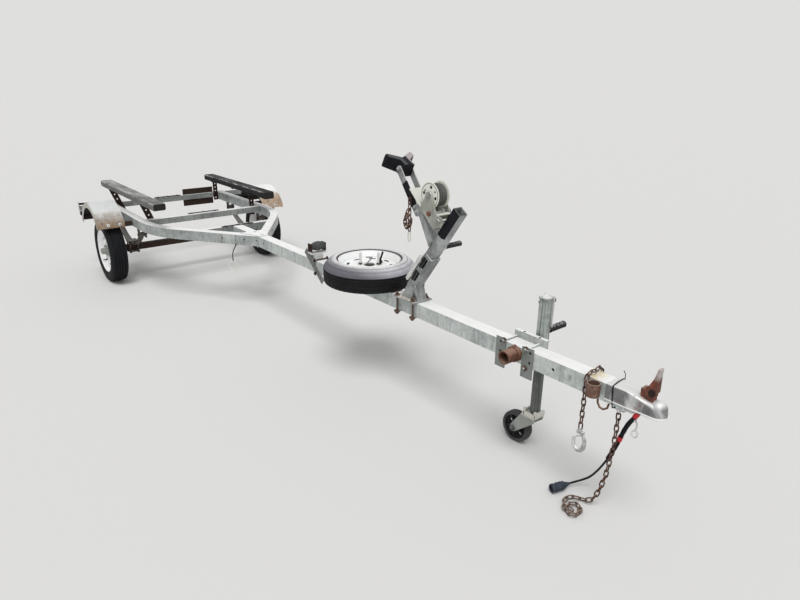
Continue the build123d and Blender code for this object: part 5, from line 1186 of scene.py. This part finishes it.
nose = [(-0.041 + 0.041 * c, 0.042 * s) for c, s in arc(-90, 90, 13)[1:-1]]
flange_outline = near + nose + [(x, -y) for x, y in near[::-1]]
rim = [Vector((NOSE_X + x, y, FLANGE_FOOT)) for x, y in flange_outline]
inside = [
    Vector((NOSE_X + x + (-0.010 if x > -0.2 else 0.010), y * 0.74, FLANGE_FOOT)) for x, y in flange_outline
]
thick = Z * 0.0032
flange = Form()
flange.skin([rim, [point + thick for point in rim], [point + thick for point in inside], inside], onward=True)
flange.swept([point + thick / 2 for point in rim[3:-3]], 0.0026, 8)
flange.done("coupler_flange", "zinc_white")

# Coupler's bosses, tie, chain catch, and the latch's web and pin.
bosses = Form()
for side in SIDES:
    place = (NOSE_X - 0.154, side * 0.0418, 0.534)
    bosses.turned(mm((0, 19), (2.2, 16.5), (2.4, 12), (1, 9), (1, 0)), place, Y * side, 28)
    for x in (NOSE_X - 0.192, NOSE_X - 0.176):
        bosses.boxed((x, side * 0.0420, 0.532), (0.006, 0.0018, 0.044))
bosses.done("coupler_bosses", "coupler_zinc", rounded=0.0006)
tie_loop = from_nose(
    (-206, 45.5, 540), (-207, 44.5, 564), (-205, 0, 565.8), (-199, -44.5, 564.5), (-198, -46, 540),
    (-194, -45.5, 500), (-190, -44, 474), (-192, -20, 470), (-198, 20, 470), (-204, 44, 480),
    (-206, 45.5, 500),
)
tie = Form().swept(tie_loop, closed=True, section=rectangle(0.0024, 0.0008), side=X)
tie.boxed((NOSE_X - 0.2065, 0.0465, 0.556), (0.006, 0.006, 0.008))
tie.swept(from_nose((-206.5, 50, 560), (-209, 52, 580), (-216, 50, 592)), 0.0016, 6)
tie.done("cable_tie", "rubber_black")
catch_line = from_nose(
    (-193, -25, 482), (-192, -26, 468), (-150, -26, 468), (-143, -26, 478), (-143, -26, 496),
)
catch = Form().swept(catch_line, section=rectangle(0.005, 0.002), side=Y)
catch.bolt((NOSE_X - 0.170, -0.029, 0.468), -Y, 0.007, 0.005)
catch.done("chain_catch", "zinc_bright", rounded=0.0006)
web = Form()
web.prism(from_nose(
    (-98, -16, 586), (-53, -16, 586), (-46, -16, 640), (-44, -16, 679), (-54, -16, 680), (-64, -16, 640),
    (-80, -16, 604),
), Y * 0.022)
web.prism(from_nose((-104, -16, 543), (-56, -16, 538), (-56, -16, 566), (-104, -16, 566)), Y * 0.032)
web.done("latch_web", "rust_red", rounded=0.0015)
pin = Vector((NOSE_X - 0.062, 0, 0.582))
latch_pin = Form().turned(mm((0, 0), (0, 6), (44, 6), (46, 0)), pin - Y * 0.023, Y, 18)
latch_pin.bolt(pin - Y * 0.019, -Y, 0.009, 0.005).done("latch_pin", "rust_dark")

# Small hook on its thin wire, hanging inside the coupler, and a rusty eye bar under the tongue.
hook_wire = from_nose((-104, 0, 498), (-106, 0, 470), (-111, 0, 440), (-117, 0, 430))
Form().swept(hook_wire, 0.0012, 6).done("hook_wire", "zinc_bright")
Form().swept(from_nose(
    (-119, 0, 437), (-111, 0, 436), (-106, 0, 425), (-106, 0, 410), (-110, 0, 398), (-120, 0, 388),
    (-123, 0, 377), (-116, 0, 368), (-105, 0, 369), (-98, 0, 379), (-99, 0, 392), (-108, 0, 399),
), 0.0034).done("small_hook", "zinc_white")
Form().swept(from_nose(
    (-262, -30, 486), (-258, -36, 466), (-245, -40, 452), (-228, -41, 450), (-214, -38, 460),
    (-210, -32, 486),
), 0.0042).done("eye_bar", "rust_bright")

# Chains: round links, each joined to the next at a point of its path.
CHAIN_WIRE = 0.006
CHAIN_INNER = 0.027
CHAIN_WIDTH = 0.022
CHAIN_PITCH = CHAIN_INNER - 0.0003
LINK_R = CHAIN_WIRE / 2 * 0.97
LINK_BEND = (CHAIN_WIDTH - CHAIN_WIRE) / 2
LINK_STRAIGHT = (CHAIN_INNER + CHAIN_WIRE) / 2 - LINK_BEND


def along_path(knots, reach):
    """The point that lies reach along the straight runs between knots."""
    for start, end in zip(knots, knots[1:]):
        run = (end - start).length
        if reach <= run:
            return start + (end - start) * (reach / run)
        reach -= run
    return None


def chain_joints(path):
    """Points on the path that are one pitch apart in a straight line."""
    knots = [Vector(point) for point in path]
    joints = [knots[0]]
    reach = 0.0
    while along_path(knots, reach + 2 * CHAIN_PITCH):
        low = reach
        high = reach + 2 * CHAIN_PITCH
        for _ in range(40):
            middle = (low + high) / 2
            if (along_path(knots, middle) - joints[-1]).length < CHAIN_PITCH:
                low = middle
            else:
                high = middle
        reach = high
        joints.append(along_path(knots, reach))
    return joints


def chain(form, *points):
    """Long oval links along a path from the nose; the first one's face looks along x."""
    joints = chain_joints(from_nose(*points))
    for number, (start, end) in enumerate(zip(joints, joints[1:])):
        along = (end - start).normalized()
        face = (X - along * X.dot(along)).normalized()
        if number % 2:
            face = along.cross(face)
        across = face.cross(along).normalized()
        oval = stadium((start + end) * 0.5, along, across, LINK_STRAIGHT, LINK_BEND, 8)
        form.swept(oval, LINK_R, 9, True)
    return joints


short = Form()
short_end = chain(
    short, (-308, 52, 480), (-308, 57, 555), (-308, 37, 578), (-308, 0, 570), (-308, -37, 578),
    (-308, -57, 555), (-308, -52, 480), (-308, -50, 290),
)[-1]
short.done("short_chain_links", "rust_chain", replaces=("chain_short",))
HOOK_LINE = mm(
    (8, 0, -6), (18, 0, -18), (24.5, 0, -34), (25.5, 0, -52), (22, 0, -70), (12, 0, -83), (-2, 0, -87),
    (-15, 0, -81), (-22.5, 0, -67), (-25, 0, -50), (-22.5, 0, -34),
)
HOOK_SIZES = [0.0058, 0.0068, 0.0078, 0.0086, 0.0092, 0.0096, 0.0096, 0.0090, 0.0080, 0.0068, 0.0050]
HOOK_LATCH = mm((-22, 0, -40), (-10, 2, -26), (12, 2, -20))
eye = short_end - Z * 0.012
hook = Form().hoop(eye, X, Z, 0.0095, 0.0038, 20, 10)
hook.swept([eye + Vector(point) for point in HOOK_LINE], HOOK_SIZES, 12)
hook.swept([eye + Vector(point) for point in HOOK_LATCH], 0.0028, 8)
hook.boxed(eye + Vector((0.003, 0, -0.004)), (0.030, 0.014, 0.012))
hook.done("chain_hook", "zinc_bright")

PILE = 12
long_chain = Form()
chain(
    long_chain, (-174, -18, 475.6), (-175, -18, 300), (-188, -20, 160), (-206, -26, 70), (-226, -34, 24),
    (-252, -42, PILE), (-284, -50, PILE), (-308, -72, PILE), (-306, -104, PILE), (-284, -136, PILE),
    (-256, -160, PILE), (-226, -158, PILE), (-214, -132, PILE), (-226, -104, PILE), (-250, -84, PILE),
    (-274, -90, PILE), (-282, -116, PILE), (-272, -131, PILE), (-256, -138, PILE), (-241, -131, PILE),
    (-241, -115, PILE), (-256, -110, PILE),
)
long_chain.done("long_chain_links", "rust_chain", replaces=("chain_long",))
bow = Form()
chain(bow, (-1386, -49.5, 1090), (-1386, -49.5, 900))
chain(
    bow, (-1388, -53, 1040), (-1400, -60, 1006), (-1408, -62, 972), (-1400, -66, 950), (-1382, -66, 944),
    (-1368, -62, 958), (-1362, -58, 985), (-1370, -60, 1010), (-1388, -68, 1008), (-1398, -72, 984),
    (-1386, -72, 962), (-1372, -66, 972), (-1376, -62, 998),
)
bow.done("bow_chain_links", "rust_chain", replaces=("bow_chain",))
CLIP_LINE = from_nose(
    (-1386, -49.5, 929), (-1379, -49.5, 923), (-1377, -49.5, 905), (-1377, -49.5, 887), (-1382, -49.5, 876),
    (-1390, -49.5, 876), (-1395, -49.5, 887), (-1395, -49.5, 905), (-1393, -49.5, 923),
)
Form().swept(CLIP_LINE, 0.0026, 9, True).done("chain_clip", "cream_plating")

# Wire under the near rail, with its ring, and the bolt of the pipe stub's collar.
WIRE_X = REAR_X + 1.842
WIRE_Y = -0.160
WIRE_LINE = mm(
    (26, 22, 485), (25, 19, 472), (22, 10, 456), (16, 2, 436), (4, 0, 410), (-1, 0, 380), (0, 0, 350),
)
wire = Form().swept([(WIRE_X + x, WIRE_Y + inward, z) for x, inward, z in WIRE_LINE], 0.0036, 8)
wire.boxed((WIRE_X + 0.026, WIRE_Y + 0.022, 0.4795), (0.020, 0.012, 0.005))
wire.done("wire_hanging", "rust_dark", replaces=("hanging_wire",))
Form().hoop((WIRE_X, WIRE_Y, 0.316), level, Z, 0.0330, 0.0042, 30).done("wire_ring", "cream_plating")
Form().bolt((JACK_X - 0.028, -0.050, FRAME_TOP + 0.001), Z, 0.007, 0.006).done("stub_bolt", "rust_bright")

# Floor, backdrop and light.
FLOOR = 60
FLOOR_TONE = (0.725, 0.721, 0.711)
BACKDROP_TONE = (0.742, 0.738, 0.727)
SKY = 0.52
SUN_STRENGTH = 1.68
SUN_SPREAD = math.radians(30)
SUN_DIRECTION = (-0.35, 0.30, -1)
floor_mesh = bpy.data.meshes.new("floor")
floor_mesh.from_pydata([(x, y, 0) for x, y in rectangle(FLOOR, FLOOR)], [], [range(4)])
floor = bpy.data.objects.new("floor", floor_mesh)
scene.collection.objects.link(floor)
floor.location.z = -0.001
floor_mesh.materials.append(Paint("floor_plain", Roughness=0.95, Base_Color=FLOOR_TONE).material)

world = bpy.data.worlds.new("studio")
world.use_nodes = True
scene.world = world
tree = world.node_tree
lit = tree.nodes["Background"]
lit.inputs["Color"].default_value = (1, 1, 1, 1)
lit.inputs["Strength"].default_value = SKY
seen = tree.nodes.new("ShaderNodeBackground")
seen.inputs["Color"].default_value = (*BACKDROP_TONE, 1)
rays = tree.nodes.new("ShaderNodeLightPath")
share = rays.outputs["Is Camera Ray"]
for ray in ("Is Glossy Ray", "Is Transmission Ray"):
    larger = tree.nodes.new("ShaderNodeMath")
    larger.operation = "MAXIMUM"
    tree.links.new(share, larger.inputs[0])
    tree.links.new(rays.outputs[ray], larger.inputs[1])
    share = larger.outputs[0]
blend = tree.nodes.new("ShaderNodeMixShader")
for socket, source in zip(blend.inputs, (share, lit.outputs[0], seen.outputs[0])):
    tree.links.new(source, socket)
tree.links.new(blend.outputs[0], tree.nodes["World Output"].inputs[0])

sun = bpy.data.lights.new("key", "SUN")
sun.energy = SUN_STRENGTH
sun.angle = SUN_SPREAD
lamp = bpy.data.objects.new("key", sun)
scene.collection.objects.link(lamp)
lamp.rotation_mode = "QUATERNION"
lamp.rotation_quaternion = Vector(SUN_DIRECTION).to_track_quat("-Z", "Y")
